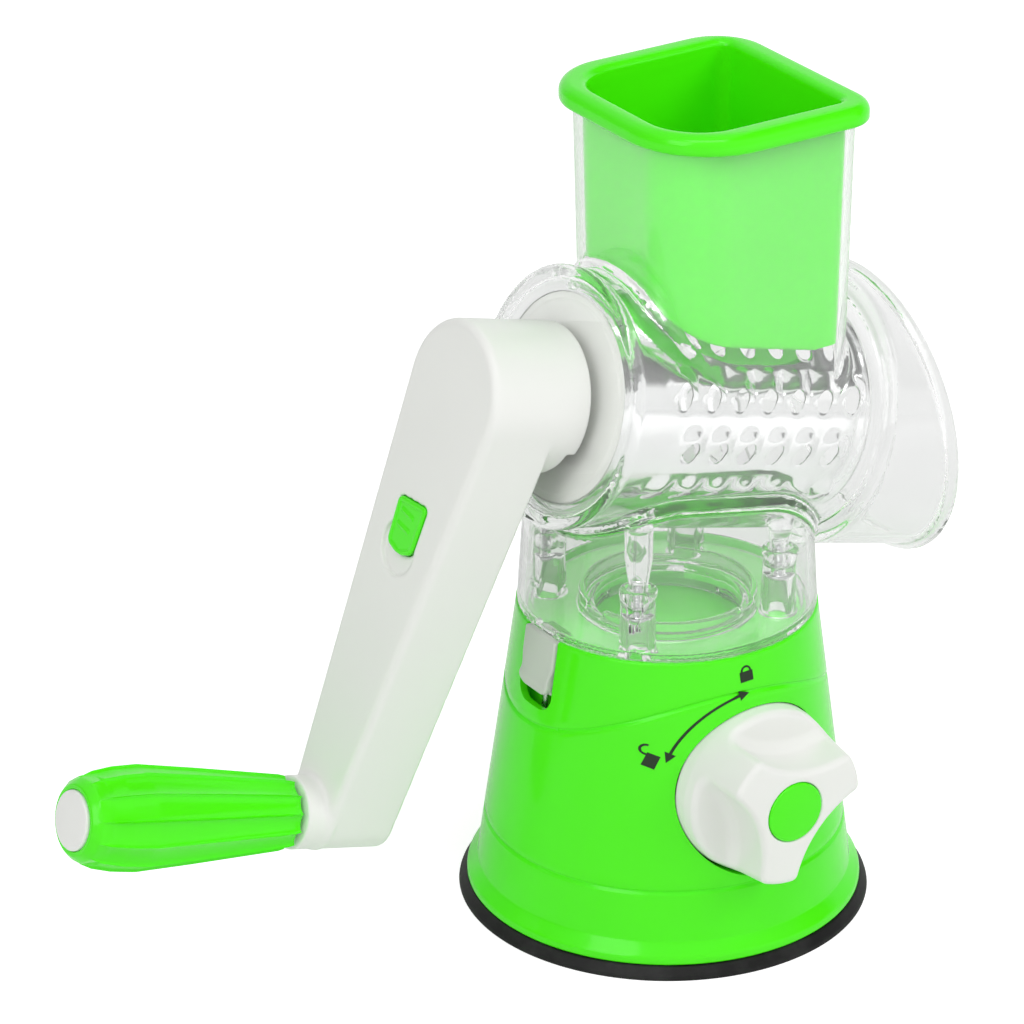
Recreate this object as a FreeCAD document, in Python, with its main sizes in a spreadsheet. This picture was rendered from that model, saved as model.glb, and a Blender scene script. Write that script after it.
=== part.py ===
"""Hand-cranked rotary shredder: drum grater on a suction base, as a parametric document.

Frame: +Z up, origin at the centre of the suction cup's underside. The drum axis lies in the
XZ plane and tips down towards +X, where the shreds fall out; the crank is on the -X side,
the suction knob on the -Y side and the housing latch on the -X side of the base.
Lengths are millimetres and angles are degrees.
"""
import FreeCAD, Part
import os
import re
import Sketcher
from FreeCAD import Vector

DIMENSIONS = {
    # suction cup and base shell, measured up from the table
    "cup_radius": 67.5,
    "cup_rim_top_radius": 65.0,
    "cup_rim_height": 4.2,
    "cup_membrane": 3.0,
    "cup_stud_radius": 9.0,
    "cup_stud_height": 24.0,
    "foot_radius": 64.8,
    "foot_height": 6.8,
    "shell_radius": 61.2,
    "shell_taper": 7.75,
    "shell_wall": 2.5,
    "base_height": 104.0,
    "rim_bore_radius": 46.1,
    "rim_depth": 3.0,
    "deck_thickness": 2.5,
    "deck_hole_radius": 26.0,
    # inner frame under the mechanism
    "frame_radius": 57.5,
    "frame_gap": 3.5,
    "frame_thickness": 3.0,
    "frame_hole_radius": 14.0,
    "bridge_height": 32.0,
    "bridge_thickness": 8.0,
    "bridge_half_width": 20.0,
    "leg_width": 6.0,
    "screw_circle": 50.0,
    "boss_radius": 4.5,
    "boss_length": 18.0,
    "screw_radius": 1.4,
    "screw_head_radius": 3.0,
    "screw_head_height": 2.0,
    "screw_clearance": 0.1,
    "screw_length": 13.0,
    # knob, cam shaft and plunger
    "knob_height": 58.0,
    "knob_radius": 28.0,
    "knob_front_radius": 25.3,
    "knob_back": 45.0,
    "knob_rim_depth": 8.0,
    "knob_reach": 72.5,
    "knob_gap": 0.4,
    "knob_lobe_angle": 18.0,
    "scoop_radius": 36.0,
    "scoop_waist": 14.0,
    "scoop_depth": 15.5,
    "cap_radius": 10.1,
    "cap_depth": 2.0,
    "cap_gap": 0.2,
    "knob_web": 4.0,
    "head_space": 2.5,
    "shaft_radius": 4.0,
    "running_clearance": 0.08,
    "shaft_tail": 14.0,
    "cam_radius": 9.0,
    "cam_half_width": 3.5,
    "cam_lift": 3.0,
    "cam_clearance": 0.25,
    "stem_radius": 5.0,
    "stem_foot": 3.0,
    "yoke_half_depth": 4.0,
    "yoke_wall": 4.0,
    "post_start": 8.0,
    "post_half_width": 8.0,
    # latch in the base wall
    "latch_drop": 10.0,
    "latch_half_width": 8.5,
    "latch_half_length": 9.5,
    "latch_thickness": 2.4,
    "latch_travel": 5.0,
    "latch_gap": 0.4,
    "guide_offset": 4.2,
    "guide_depth": 2.6,
    "guide_half_width": 11.0,
    "guide_wall": 1.6,
    "tooth_half_width": 5.0,
    "spring_length": 13.0,
    "spring_radius": 2.4,
    "spring_wire": 0.6,
    # transparent pedestal
    "pedestal_radius": 48.3,
    "pedestal_wall": 2.4,
    "pedestal_half_width": 42.0,
    "pedestal_half_depth": 29.5,
    "pedestal_corner": 18.0,
    "flange_thickness": 1.6,
    "bayonet_ring_radius": 28.5,
    "bayonet_ring_wall": 2.0,
    "bayonet_ring_height": 5.0,
    "ring_notch": 9.0,
    "spigot_wall": 2.2,
    "fit_gap": 0.3,
    "lug_width": 14.0,
    "lug_reach": 2.6,
    "lug_thickness": 2.0,
    "socket_radius": 5.4,
    "socket_height": 24.6,
    "socket_web": 2.8,
    "post_front": 29.0,
    "post_back": 25.0,
    "post_side": 26.0,
    "post_boss_radius": 3.4,
    "post_overlap": 6.0,
    "post_screw_length": 11.0,
    # housing: tube, chute and hood, along the drum axis
    "axis_height": 173.3,
    "drum_tilt": 14.7,
    "crank_face": 44.8,
    "end_wall": 2.4,
    "ring_radius": 41.5,
    "ring_width": 3.3,
    "tube_radius": 40.5,
    "tube_wall": 2.5,
    "saddle_lip": 2.2,
    "saddle_overhang": 1.4,
    "hood_start": 54.0,
    "hood_radius": 45.7,
    "hood_wall": 2.4,
    "hood_reach": 82.9,
    "hood_slant": 21.3,
    "hood_lip_radius": 47.6,
    "hood_lip_width": 4.0,
    "chute_left_low": 20.6,
    "chute_left_top": 23.4,
    "chute_right_low": 45.8,
    "chute_right_top": 46.7,
    "chute_half_low": 35.8,
    "chute_half_top": 36.9,
    "chute_corner_crank": 22.0,
    "chute_corner_mouth": 9.0,
    "chute_wall": 2.4,
    # pusher
    "rim_top": 276.0,
    "rim_skirt": 6.5,
    "rim_thickness": 2.5,
    "rim_overhang": 4.0,
    "skirt_wall": 1.8,
    "pusher_gap": 0.5,
    "pusher_wall": 1.9,
    "pusher_floor": 2.5,
    "saddle_radius": 77.0,
    "drum_clearance": 2.4,
    # drum and its hub
    "drum_radius": 33.8,
    "drum_wall": 0.6,
    "drum_start": 41.7,
    "drum_length": 95.4,
    "drum_turn": 52.0,
    "hole_radius": 3.5,
    "hole_step": 11.1,
    "first_hole": 20.9,
    "hub_face": 42.1,
    "hub_plate": 2.6,
    "hub_collar": 8.0,
    "hub_fit": 0.05,
    "neck_radius": 10.0,
    "neck_length": 5.4,
    "hex_radius": 8.0,
    "hex_tip": 76.0,
    "hex_groove_core": 5.0,
    "plate_level": 72.0,
    "plate_thickness": 2.6,
    # crank
    "crank_angle": 9.7,
    "crank_throw": 153.0,
    "arm_front": 85.0,
    "arm_back": 59.0,
    "arm_hub_radius": 23.8,
    "arm_tip_radius": 12.0,
    "arm_wall": 2.6,
    "boss_end": 48.2,
    "boss_notch": 3.0,
    "socket_boss_radius": 13.5,
    "socket_end": 49.0,
    "hex_clearance": 0.1,
    "cover_thickness": 2.2,
    "cover_gap": 0.2,
    "pillar_near": 76.0,
    "pillar_far": 122.0,
    "pillar_radius": 3.4,
    "cover_screw_length": 10.0,
    "neck_end": 92.0,
    # release button
    "button_top": 38.0,
    "button_bottom": 56.0,
    "button_half_width": 7.1,
    "button_gap": 0.3,
    "button_lip": 1.6,
    "button_travel": 3.2,
    "finger_recess": 8.0,
    "finger_depth": 1.6,
    "plate_half_width": 9.4,
    "plate_end": 59.0,
    "return_spring_length": 10.0,
    # grip
    "grip_start": 92.3,
    "grip_end": 171.5,
    "grip_neck_radius": 11.6,
    "grip_shoulder_radius": 12.2,
    "grip_belly_radius": 16.9,
    "grip_belly": 149.0,
    "grip_tail_radius": 15.2,
    "grip_tail": 165.0,
    "grip_end_radius": 11.2,
    "spindle_radius": 4.0,
    "spindle_head": 62.0,
    "spindle_head_radius": 7.0,
    "end_cap_radius": 9.6,
    "end_cap_proud": 1.1,
    "end_cap_thickness": 2.1,
}

doc = FreeCAD.newDocument("rotary_shredder")
sheet = doc.addObject("Spreadsheet::Sheet", "dims")
for row, (alias, value) in enumerate(DIMENSIONS.items(), start=1):
    sheet.set(f"A{row}", str(value))
    sheet.setAlias(f"A{row}", alias)
doc.recompute()


# ---- helpers ---------------------------------------------------------------------------

def formula(text):
    """A FreeCAD expression in which each word that is an alias reads its sheet cell."""
    return re.sub(r"[a-z_]+", lambda word: f"dims.{word[0]}" if word[0] in DIMENSIONS else word[0],
                  str(text))


def shift(x=0, y=0, z=0, axis=(0, 0, 1), angle=0):
    """Expression of a placement from a position and a turn about an axis."""
    turn = f"rotation(vector({axis[0]}; {axis[1]}; {axis[2]}); {angle})"
    return f"placement(vector({x}; {y}; {z}); {turn})"


WORLD = shift()
TABLE = shift()
# +Z runs along the drum axis towards the mouth, +X points down and +Y is the row's +Y
AXIS = shift(z="axis_height", axis=(0, 1, 0), angle="90 + drum_tilt")
# the same with +X along the crank arm
CRANK = f"{AXIS} * {shift(angle='crank_angle')}"
GRIP = f"{CRANK} * {shift(x='crank_throw')}"
# +Z points out of the base towards the knob (-Y), +Y is up
KNOB = shift(z="knob_height", axis=(1, 0, 0), angle=90)
# origin on the outer wall above the latch, +X into the base, +Z up along the wall
LATCH_LEVEL = "(base_height - latch_drop)"
WALL_RADIUS = f"(shell_radius - tan(shell_taper) * ({LATCH_LEVEL} - cup_rim_height - foot_height))"
LATCH = shift(x=f"0 - {WALL_RADIUS}", z=LATCH_LEVEL, axis=(0, 1, 0), angle="shell_taper")


def place(item, frame):
    item.setExpression("Placement", formula(frame))
    return item


def add(kind, name, frame=WORLD, **sizes):
    """A Part primitive whose sizes and placement are bound to the sheet."""
    item = doc.addObject(kind, name)
    for key, text in sizes.items():
        item.setExpression(key, formula(text))
    return place(item, frame)


def rod(name, frame, radius, start, end, x=0, y=0):
    """A cylinder along the frame's Z between two levels."""
    spot = f"{frame} * {shift(x, y, start)}"
    return add("Part::Cylinder", name, spot, Radius=radius, Height=f"({end}) - ({start})")


def block(name, frame, x_span, y_span, z_span):
    """A box between pairs of levels."""
    sides = [f"({high}) - ({low})" for low, high in (x_span, y_span, z_span)]
    spot = f"{frame} * {shift(x_span[0], y_span[0], z_span[0])}"
    return add("Part::Box", name, spot, Length=sides[0], Width=sides[1], Height=sides[2])


def fuse(name, pieces):
    item = doc.addObject("Part::MultiFuse", name)
    item.Shapes = pieces
    return item


def cut(name, base, tools):
    item = doc.addObject("Part::Cut", name)
    item.Base = base
    item.Tool = tools[0] if len(tools) == 1 else fuse(f"{name}_tools", tools)
    return item


def common(name, first, second):
    item = doc.addObject("Part::Common", name)
    item.Base = first
    item.Tool = second
    return item


def pin_point(sketch, edge, end, spot):
    """Ties one end of a sketch edge to two formulas."""
    for kind, text in zip(("DistanceX", "DistanceY"), spot):
        value = float(sketch.evalExpression(formula(text)))
        index = sketch.addConstraint(Sketcher.Constraint(kind, -1, 1, edge, end, value))
        sketch.setExpression(f"Constraints[{index}]", formula(text))


def draw_lines(sketch, corners):
    """A closed outline of straight edges; every corner is bound to the sheet."""
    spots = [[float(sketch.evalExpression(formula(text))) for text in corner] for corner in corners]
    count = len(spots)
    for index in range(count):
        start = Vector(*spots[index], 0)
        end = Vector(*spots[(index + 1) % count], 0)
        sketch.addGeometry(Part.LineSegment(start, end), False)
    for index in range(count):
        sketch.addConstraint(Sketcher.Constraint("Coincident", index, 2, (index + 1) % count, 1))
        pin_point(sketch, index, 1, corners[index])


def draw_circle(sketch, radius, x=0, y=0):
    spot = [float(sketch.evalExpression(formula(text))) for text in (x, y)]
    size = float(sketch.evalExpression(formula(radius)))
    edge = sketch.addGeometry(Part.Circle(Vector(*spot, 0), Vector(0, 0, 1), size), False)
    pin_point(sketch, edge, 3, (x, y))
    index = sketch.addConstraint(Sketcher.Constraint("Radius", edge, size))
    sketch.setExpression(f"Constraints[{index}]", formula(radius))


def draw_rounded(sketch, left, right, half, left_radius, right_radius):
    """A rounded rectangle from -left to right and -half to half, with two corner radii."""
    sides = [
        ((f"{left_radius} - ({left})", f"0 - ({half})"),
         (f"{right} - ({right_radius})", f"0 - ({half})")),
        ((right, f"{right_radius} - ({half})"), (right, f"{half} - ({right_radius})")),
        ((f"{right} - ({right_radius})", half), (f"{left_radius} - ({left})", half)),
        ((f"0 - ({left})", f"{half} - ({left_radius})"), (f"0 - ({left})", f"{left_radius} - ({half})")),
    ]
    radii = [right_radius, right_radius, left_radius, left_radius]
    read = lambda text: float(sketch.evalExpression(formula(text)))
    ends = [[Vector(*(read(text) for text in spot), 0) for spot in side] for side in sides]
    for start, end in ends:
        sketch.addGeometry(Part.LineSegment(start, end), False)
    for index, radius in enumerate(radii):
        start, end = ends[index][1], ends[(index + 1) % 4][0]
        turn = Vector(end.x - start.x, end.y - start.y, 0)
        ahead = (ends[index][1] - ends[index][0]).normalize()
        inward = Vector(-ahead.y, ahead.x, 0)
        size = read(radius)
        centre = start + inward * size
        middle = centre + (turn.cross(Vector(0, 0, 1))).normalize() * size
        sketch.addGeometry(Part.Arc(start, middle, end), False)
    for index in range(4):
        pin_point(sketch, index, 1, sides[index][0])
        pin_point(sketch, index, 2, sides[index][1])
        sketch.addConstraint(Sketcher.Constraint("Tangent", index, 2, 4 + index, 1))
        sketch.addConstraint(Sketcher.Constraint("Coincident", 4 + index, 2, (index + 1) % 4, 1))


def flat_sketch(name, frame, draw, *values):
    sketch = doc.addObject("Sketcher::SketchObject", name)
    draw(sketch, *values)
    return place(sketch, frame)


def turned(name, frame, profile):
    """A solid of revolution about the frame's Z from (radius, level) corners."""
    sketch = flat_sketch(f"{name}_profile", shift(axis=(1, 0, 0), angle=90), draw_lines, profile)
    item = doc.addObject("Part::Revolution", name)
    item.Source = sketch
    item.Axis = Vector(0, 0, 1)
    item.Base = Vector(0, 0, 0)
    item.Angle = 360
    item.Solid = True
    return place(item, frame)


def slab(name, frame, start, end, draw, *values):
    """A drawn outline raised along the frame's Z between two levels."""
    sketch = flat_sketch(f"{name}_outline", f"{frame} * {shift(z=start)}", draw, *values)
    item = doc.addObject("Part::Extrusion", name)
    item.Base = sketch
    item.DirMode = "Normal"
    item.setExpression("LengthFwd", formula(f"({end}) - ({start})"))
    item.Solid = True
    return item


def loft(name, sketches):
    item = doc.addObject("Part::Loft", name)
    item.Sections = sketches
    item.Solid = True
    item.Ruled = True
    return item


def label(item, node):
    item.Label = node
    NODES.append(item)
    return item


NODES = []


def body(name, frame):
    return place(doc.addObject("PartDesign::Body", name), frame)


def origin_part(owner, role):
    return next(part for part in owner.Origin.OriginFeatures if part.Role == role)


def body_sketch(owner, name, role, offset, draw, *values):
    """A sketch of a body, attached to one of its origin planes."""
    sketch = owner.newObject("Sketcher::SketchObject", name)
    sketch.AttachmentSupport = [(origin_part(owner, role), "")]
    sketch.MapMode = "FlatFace"
    sketch.setExpression("AttachmentOffset", formula(offset))
    draw(sketch, *values)
    return sketch


def revolve_body(owner, profile):
    """First feature of a body: a revolution about its Z from (radius, level) corners."""
    sketch = body_sketch(owner, f"{owner.Name}_profile", "XZ_Plane", WORLD, draw_lines, profile)
    turn = owner.newObject("PartDesign::Revolution", f"{owner.Name}_turn")
    turn.Profile = sketch
    turn.ReferenceAxis = (sketch, ["V_Axis"])
    turn.Angle = 360
    owner.Tip = turn
    doc.recompute()
    return turn


def pocket(owner, name, level, depth, draw, *values):
    """A pocket from a level down towards the body's -Z."""
    sketch = body_sketch(owner, f"{name}_outline", "XY_Plane", shift(z=level), draw, *values)
    item = owner.newObject("PartDesign::Pocket", name)
    item.Profile = sketch
    item.setExpression("Length", formula(depth))
    owner.Tip = item
    doc.recompute()
    return item


def polar(owner, originals, count):
    item = owner.newObject("PartDesign::PolarPattern", f"{originals[0].Name}_pattern")
    item.Originals = originals
    item.Axis = (origin_part(owner, "Z_Axis"), [""])
    item.Angle = 360
    item.Occurrences = count
    owner.Tip = item
    doc.recompute()
    return item


# ---- base ------------------------------------------------------------------------------

FOOT_TOP = "(cup_rim_height + foot_height)"
DECK_TOP = "(base_height - rim_depth)"
DECK_UNDER = "(base_height - rim_depth - deck_thickness)"
SHELL_TOP_RADIUS = f"(shell_radius - tan(shell_taper) * (base_height - {FOOT_TOP}))"
INNER_LOW_RADIUS = "(shell_radius - shell_wall / cos(shell_taper))"
INNER_TOP_RADIUS = f"({INNER_LOW_RADIUS} - tan(shell_taper) * ({DECK_UNDER} - {FOOT_TOP}))"
FRAME_UNDER = "(cup_membrane + frame_gap)"
FRAME_TOP = "(cup_membrane + frame_gap + frame_thickness)"
RECESS_FLOOR = "(knob_back - knob_gap)"
RECESS_RADIUS = "(knob_radius + knob_gap)"


def base_shell():
    """Tapered green shell with its deck, knob recess, latch slot and screw bosses."""
    wall = turned("shell_wall_solid", WORLD, [
        ("foot_radius", "cup_rim_height"),
        ("foot_radius - 0.5", f"{FOOT_TOP} - foot_height / 2"),
        ("shell_radius + 0.8", f"{FOOT_TOP} - foot_height / 8"),
        ("shell_radius", FOOT_TOP),
        (SHELL_TOP_RADIUS, "base_height"),
        ("rim_bore_radius", "base_height"),
        ("rim_bore_radius", DECK_TOP),
        ("deck_hole_radius", DECK_TOP),
        ("deck_hole_radius", DECK_UNDER),
        (INNER_TOP_RADIUS, DECK_UNDER),
        (INNER_LOW_RADIUS, FOOT_TOP),
        ("foot_radius - shell_wall", f"{FOOT_TOP} - foot_height / 2"),
        ("foot_radius - shell_wall", "cup_rim_height"),
    ])
    cone = add("Part::Cone", "shell_envelope", shift(z=FOOT_TOP), Radius1="shell_radius",
               Radius2=SHELL_TOP_RADIUS, Height=f"base_height - {FOOT_TOP}")
    cup = rod("recess_cup", KNOB, f"{RECESS_RADIUS} + shell_wall", f"{RECESS_FLOOR} - shell_wall",
              "shell_radius")
    guide = block("latch_guide", LATCH,
                  ("shell_wall / 2", "guide_offset + guide_depth + latch_gap + guide_wall"),
                  ("0 - guide_half_width - latch_gap - guide_wall",
                   "guide_half_width + latch_gap + guide_wall"),
                  ("0 - latch_half_length - spring_length - guide_wall", "latch_half_length / 2"))
    pieces = [wall, common("recess_wall", cup, cone), common("latch_guide_solid", guide, cone)]
    for number in range(4):
        pieces.append(frame_boss(number))
    solid = fuse("shell_solid", pieces)
    tools = [
        rod("recess_bore", KNOB, RECESS_RADIUS, RECESS_FLOOR, "shell_radius + 1"),
        rod("recess_shaft_hole", KNOB, "shaft_radius + running_clearance",
            f"{RECESS_FLOOR} - 2 * shell_wall", f"{RECESS_FLOOR} + 1"),
        block("latch_slot", LATCH, ("0 - shell_wall", "guide_offset"),
              ("0 - latch_half_width - latch_gap", "latch_half_width + latch_gap"),
              ("0 - latch_half_length - latch_travel - latch_gap", "2 * latch_half_length")),
        block("latch_channel", LATCH, ("shell_wall + 0.3", "guide_offset + guide_depth + latch_gap"),
              ("0 - guide_half_width - latch_gap", "guide_half_width + latch_gap"),
              ("0 - latch_half_length - spring_length", "latch_half_length / 2 + 1")),
        block("tooth_slot", LATCH, ("guide_offset - latch_gap", "guide_offset + guide_depth + latch_gap"),
              ("0 - tooth_half_width - latch_gap", "tooth_half_width + latch_gap"),
              ("0", "latch_half_length + 2")),
    ]
    tools += [screw_hole(number) for number in range(4)]
    tools += [bayonet_notch(number) for number in range(3)]
    return label(cut("base_shell", solid, tools), "base_shell")


def corner_frame(number):
    """Frame turned to one of the four screws of the inner frame."""
    return shift(angle=45 + 90 * number)


def frame_boss(number):
    """Screw boss of the shell, ribbed to its wall."""
    frame = corner_frame(number)
    boss = rod(f"frame_boss_{number}", frame, "boss_radius", FRAME_TOP, f"{FRAME_TOP} + boss_length",
               x="screw_circle")
    rib = block(f"frame_rib_{number}", frame,
                ("screw_circle", f"{INNER_LOW_RADIUS} - tan(shell_taper) * boss_length + 1"),
                ("0 - boss_radius / 2", "boss_radius / 2"), (FRAME_TOP, f"{FRAME_TOP} + boss_length"))
    return fuse(f"frame_boss_rib_{number}", [boss, rib])


def screw_hole(number):
    return rod(f"screw_hole_{number}", corner_frame(number), "screw_radius + screw_clearance",
               f"{FRAME_UNDER} - 1", f"{FRAME_TOP} + boss_length - 2", x="screw_circle")


def bayonet_notch(number):
    """Opening in the deck's edge that lets a lug of the pedestal through."""
    return block(f"bayonet_notch_{number}", shift(angle=120 * number + 60),
                 ("0", "deck_hole_radius + lug_reach + fit_gap"),
                 ("0 - lug_width / 2 - 1", "lug_width / 2 + 1"), (f"{DECK_UNDER} - 1", f"{DECK_TOP} + 1"))


def suction_cup():
    """Rubber disc with a thick rim and a centre stud; its underside lies on the table."""
    return label(turned("suction_cup", WORLD, [
        ("0", "0"),
        ("cup_radius", "0"),
        ("cup_rim_top_radius", "cup_rim_height"),
        ("foot_radius - 2 * shell_wall", "cup_rim_height"),
        ("frame_radius", "cup_membrane"),
        ("cup_stud_radius", "cup_membrane"),
        ("cup_stud_radius", "cup_stud_height"),
        ("0", "cup_stud_height"),
    ]), "suction_cup")


def base_frame():
    """Plate screwed under the shell, with the bridge that guides the plunger and the cam shaft."""
    plate = rod("frame_plate", TABLE, "frame_radius", FRAME_UNDER, FRAME_TOP)
    bridge = block("frame_bridge", TABLE, ("0 - bridge_half_width", "bridge_half_width"),
                   ("0 - stem_radius - 2", "shaft_tail"),
                   ("bridge_height", "bridge_height + bridge_thickness"))
    legs = []
    for number, low in enumerate(("0 - bridge_half_width", "bridge_half_width - leg_width")):
        legs.append(block(f"frame_leg_{number}", TABLE, (low, f"{low} + leg_width"),
                          ("0 - stem_radius - 2", "shaft_tail"), (FRAME_TOP, "bridge_height")))
    post = block("frame_post", TABLE, ("0 - post_half_width", "post_half_width"),
                 ("post_start", "shaft_tail"),
                 ("bridge_height + bridge_thickness", "knob_height + post_half_width"))
    solid = fuse("frame_solid", [plate, bridge, post] + legs)
    tools = [
        rod("frame_centre_hole", TABLE, "frame_hole_radius", f"{FRAME_UNDER} - 1", f"{FRAME_TOP} + 1"),
        rod("stem_guide", TABLE, "stem_radius + running_clearance", "bridge_height - 1",
            "bridge_height + bridge_thickness + 1"),
        rod("post_bore", KNOB, "shaft_radius + running_clearance", "0 - shaft_tail - 1",
            "0 - post_start + 1"),
    ]
    tools += [rod(f"frame_screw_hole_{number}", corner_frame(number), "screw_radius + screw_clearance",
                  f"{FRAME_UNDER} - 1", f"{FRAME_TOP} + 1", x="screw_circle") for number in range(4)]
    return label(cut("base_frame", solid, tools), "base_frame")


def screw(name, frame, seat, length, x=0, y=0):
    """Pan-head screw whose head lies below the seat and whose shank runs up from it."""
    head = rod(f"{name}_head", frame, "screw_head_radius", f"{seat} - screw_head_height", seat, x, y)
    shank = rod(f"{name}_shank", frame, "screw_radius", seat, f"{seat} + {length}", x, y)
    return fuse(name, [head, shank])


def group(name, items):
    item = doc.addObject("Part::Compound", name)
    item.Links = items
    return item


def frame_screws():
    items = [screw(f"frame_screw_{number}", corner_frame(number), FRAME_UNDER, "screw_length",
                   x="screw_circle")
             for number in range(4)]
    return label(group("frame_screws", items), "frame_screws")


# ---- suction mechanism -----------------------------------------------------------------

HEAD_SEAT = "(knob_reach - cap_depth - head_space - screw_head_height)"
SHAFT_END = f"({HEAD_SEAT} - knob_web)"

CAM_CENTRE_X = "(0 - cam_lift / 2)"
CAM_CENTRE_Z = "(knob_height - cam_lift / 2)"


def cup_plunger():
    """Stem on the cup's stud with a yoke around the cam."""
    foot = rod("plunger_foot", TABLE, "cup_stud_radius", "cup_stud_height", "cup_stud_height + stem_foot")
    half_window = "(cam_radius + cam_clearance)"
    stem = rod("plunger_stem", TABLE, "stem_radius", "cup_stud_height",
               f"{CAM_CENTRE_Z} - {half_window} - 1")
    reach = "(cam_radius + cam_lift + cam_clearance)"
    yoke = block("plunger_yoke", TABLE, (f"0 - {reach} - yoke_wall", f"{reach} + yoke_wall"),
                 ("0 - yoke_half_depth", "yoke_half_depth"),
                 (f"{CAM_CENTRE_Z} - {half_window} - yoke_wall",
                  f"{CAM_CENTRE_Z} + {half_window} + yoke_wall"))
    window = block("plunger_window", TABLE, (f"0 - {reach}", reach),
                   ("0 - yoke_half_depth - 1", "yoke_half_depth + 1"),
                   (f"{CAM_CENTRE_Z} - {half_window}", f"{CAM_CENTRE_Z} + {half_window}"))
    return label(cut("cup_plunger", fuse("plunger_solid", [foot, stem, yoke]), [window]), "cup_plunger")


def cam_shaft():
    """Shaft of the knob with its eccentric cam."""
    shaft = rod("shaft_rod", KNOB, "shaft_radius", "0 - shaft_tail", SHAFT_END)
    cam = rod("shaft_cam", KNOB, "cam_radius", "0 - cam_half_width", "cam_half_width",
              x="0 - cam_lift / 2", y="0 - cam_lift / 2")
    pilot = rod("shaft_pilot", KNOB, "screw_radius + screw_clearance", "knob_back",
                f"{SHAFT_END} + 1")
    return label(cut("cam_shaft", fuse("shaft_solid", [shaft, cam]), [pilot]), "cam_shaft")


def knob():
    """Three-lobed knob: a tapered disc with three scoops cut between the lobes."""
    owner = body("knob", KNOB)
    revolve_body(owner, [
        ("0", "knob_back"),
        ("knob_radius", "knob_back"),
        ("knob_radius", "knob_back + knob_rim_depth"),
        ("knob_front_radius", "knob_reach"),
        ("0", "knob_reach"),
    ])
    distance = "(scoop_waist + scoop_radius)"
    angle = "(knob_lobe_angle + 60)"
    scoop = pocket(owner, "scoop", "knob_reach", "scoop_depth", draw_circle, "scoop_radius",
                   f"{distance} * cos({angle})", f"{distance} * sin({angle})")
    polar(owner, [scoop], 3)
    pocket(owner, "cap_seat", "knob_reach", "cap_depth", draw_circle, "cap_radius + cap_gap")
    pocket(owner, "screw_seat", "knob_reach", f"knob_reach - {HEAD_SEAT}", draw_circle,
           "screw_head_radius + cap_gap")
    pocket(owner, "screw_way", "knob_reach", "knob_reach - knob_back", draw_circle,
           "screw_radius + screw_clearance")
    pocket(owner, "shaft_seat", SHAFT_END, f"{SHAFT_END} - knob_back", draw_circle,
           "shaft_radius + cap_gap / 10")
    return label(owner, "knob")


def knob_cap():
    return label(rod("knob_cap", KNOB, "cap_radius", "knob_reach - cap_depth", "knob_reach + cap_gap"),
                 "knob_cap")


def knob_screw():
    """Screw through the knob into the end of the cam shaft."""
    head = rod("knob_screw_head", KNOB, "screw_head_radius", HEAD_SEAT,
               f"{HEAD_SEAT} + screw_head_height")
    shank = rod("knob_screw_shank", KNOB, "screw_radius", f"{HEAD_SEAT} - screw_length", HEAD_SEAT)
    return label(fuse("knob_screw", [head, shank]), "knob_screw")


def latch():
    """Sliding tab in the base wall; its tooth holds the pedestal against turning."""
    tab = block("latch_tab", LATCH, ("0 - 0.3", "latch_thickness"),
                ("0 - latch_half_width", "latch_half_width"),
                ("0 - latch_half_length", "latch_half_length"))
    neck = block("latch_neck", LATCH, ("latch_thickness", "guide_offset"),
                 ("0 - latch_half_width + 1", "latch_half_width - 1"),
                 ("0 - latch_half_length", "latch_half_length / 3"))
    runner = block("latch_runner", LATCH, ("guide_offset", "guide_offset + guide_depth"),
                   ("0 - guide_half_width", "guide_half_width"),
                   ("0 - latch_half_length", "latch_half_length / 3"))
    tooth = block("latch_tooth", LATCH, ("guide_offset", "guide_offset + guide_depth"),
                  ("0 - tooth_half_width", "tooth_half_width"), ("0", "latch_half_length + 1"))
    return label(fuse("latch", [tab, neck, runner, tooth]), "latch")


def coil(name, frame, radius, start, end, x=0, y=0):
    """Envelope of a small compression spring."""
    outside = rod(f"{name}_outside", frame, radius, start, end, x, y)
    inside = rod(f"{name}_inside", frame, f"{radius} - spring_wire", f"{start} - 1", f"{end} + 1", x, y)
    return label(cut(name, outside, [inside]), name)


def latch_spring():
    return coil("latch_spring", f"{LATCH} * {shift(x='guide_offset + guide_depth / 2')}",
                "guide_depth / 2",
                "0 - latch_half_length - spring_length", "0 - latch_half_length")


# ---- pedestal and housing --------------------------------------------------------------

POSTS = [(side, edge) for side in ("0 - post_front", "post_back") for edge in ("0 - post_side",
                                                                               "post_side")]
SOCKET_TOP = f"({DECK_TOP} + socket_height)"
POST_SEAT = f"({SOCKET_TOP} - post_overlap - fit_gap - socket_web)"


def pedestal_loft(name, inset):
    """Skirt between the round base and the tube, oval towards the top, drawn in by an inset."""
    radius = f"pedestal_radius - ({inset})"
    width = f"pedestal_half_width - ({inset})"
    corner = f"pedestal_corner - ({inset})"
    low = flat_sketch(f"{name}_low", shift(z="base_height"), draw_rounded, radius, radius, radius,
                      f"{radius} - fit_gap / 3", f"{radius} - fit_gap / 3")
    high = flat_sketch(f"{name}_high", shift(z="axis_height"), draw_rounded, width, width,
                       f"pedestal_half_depth - ({inset})", corner, corner)
    return loft(name, [low, high])


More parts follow.
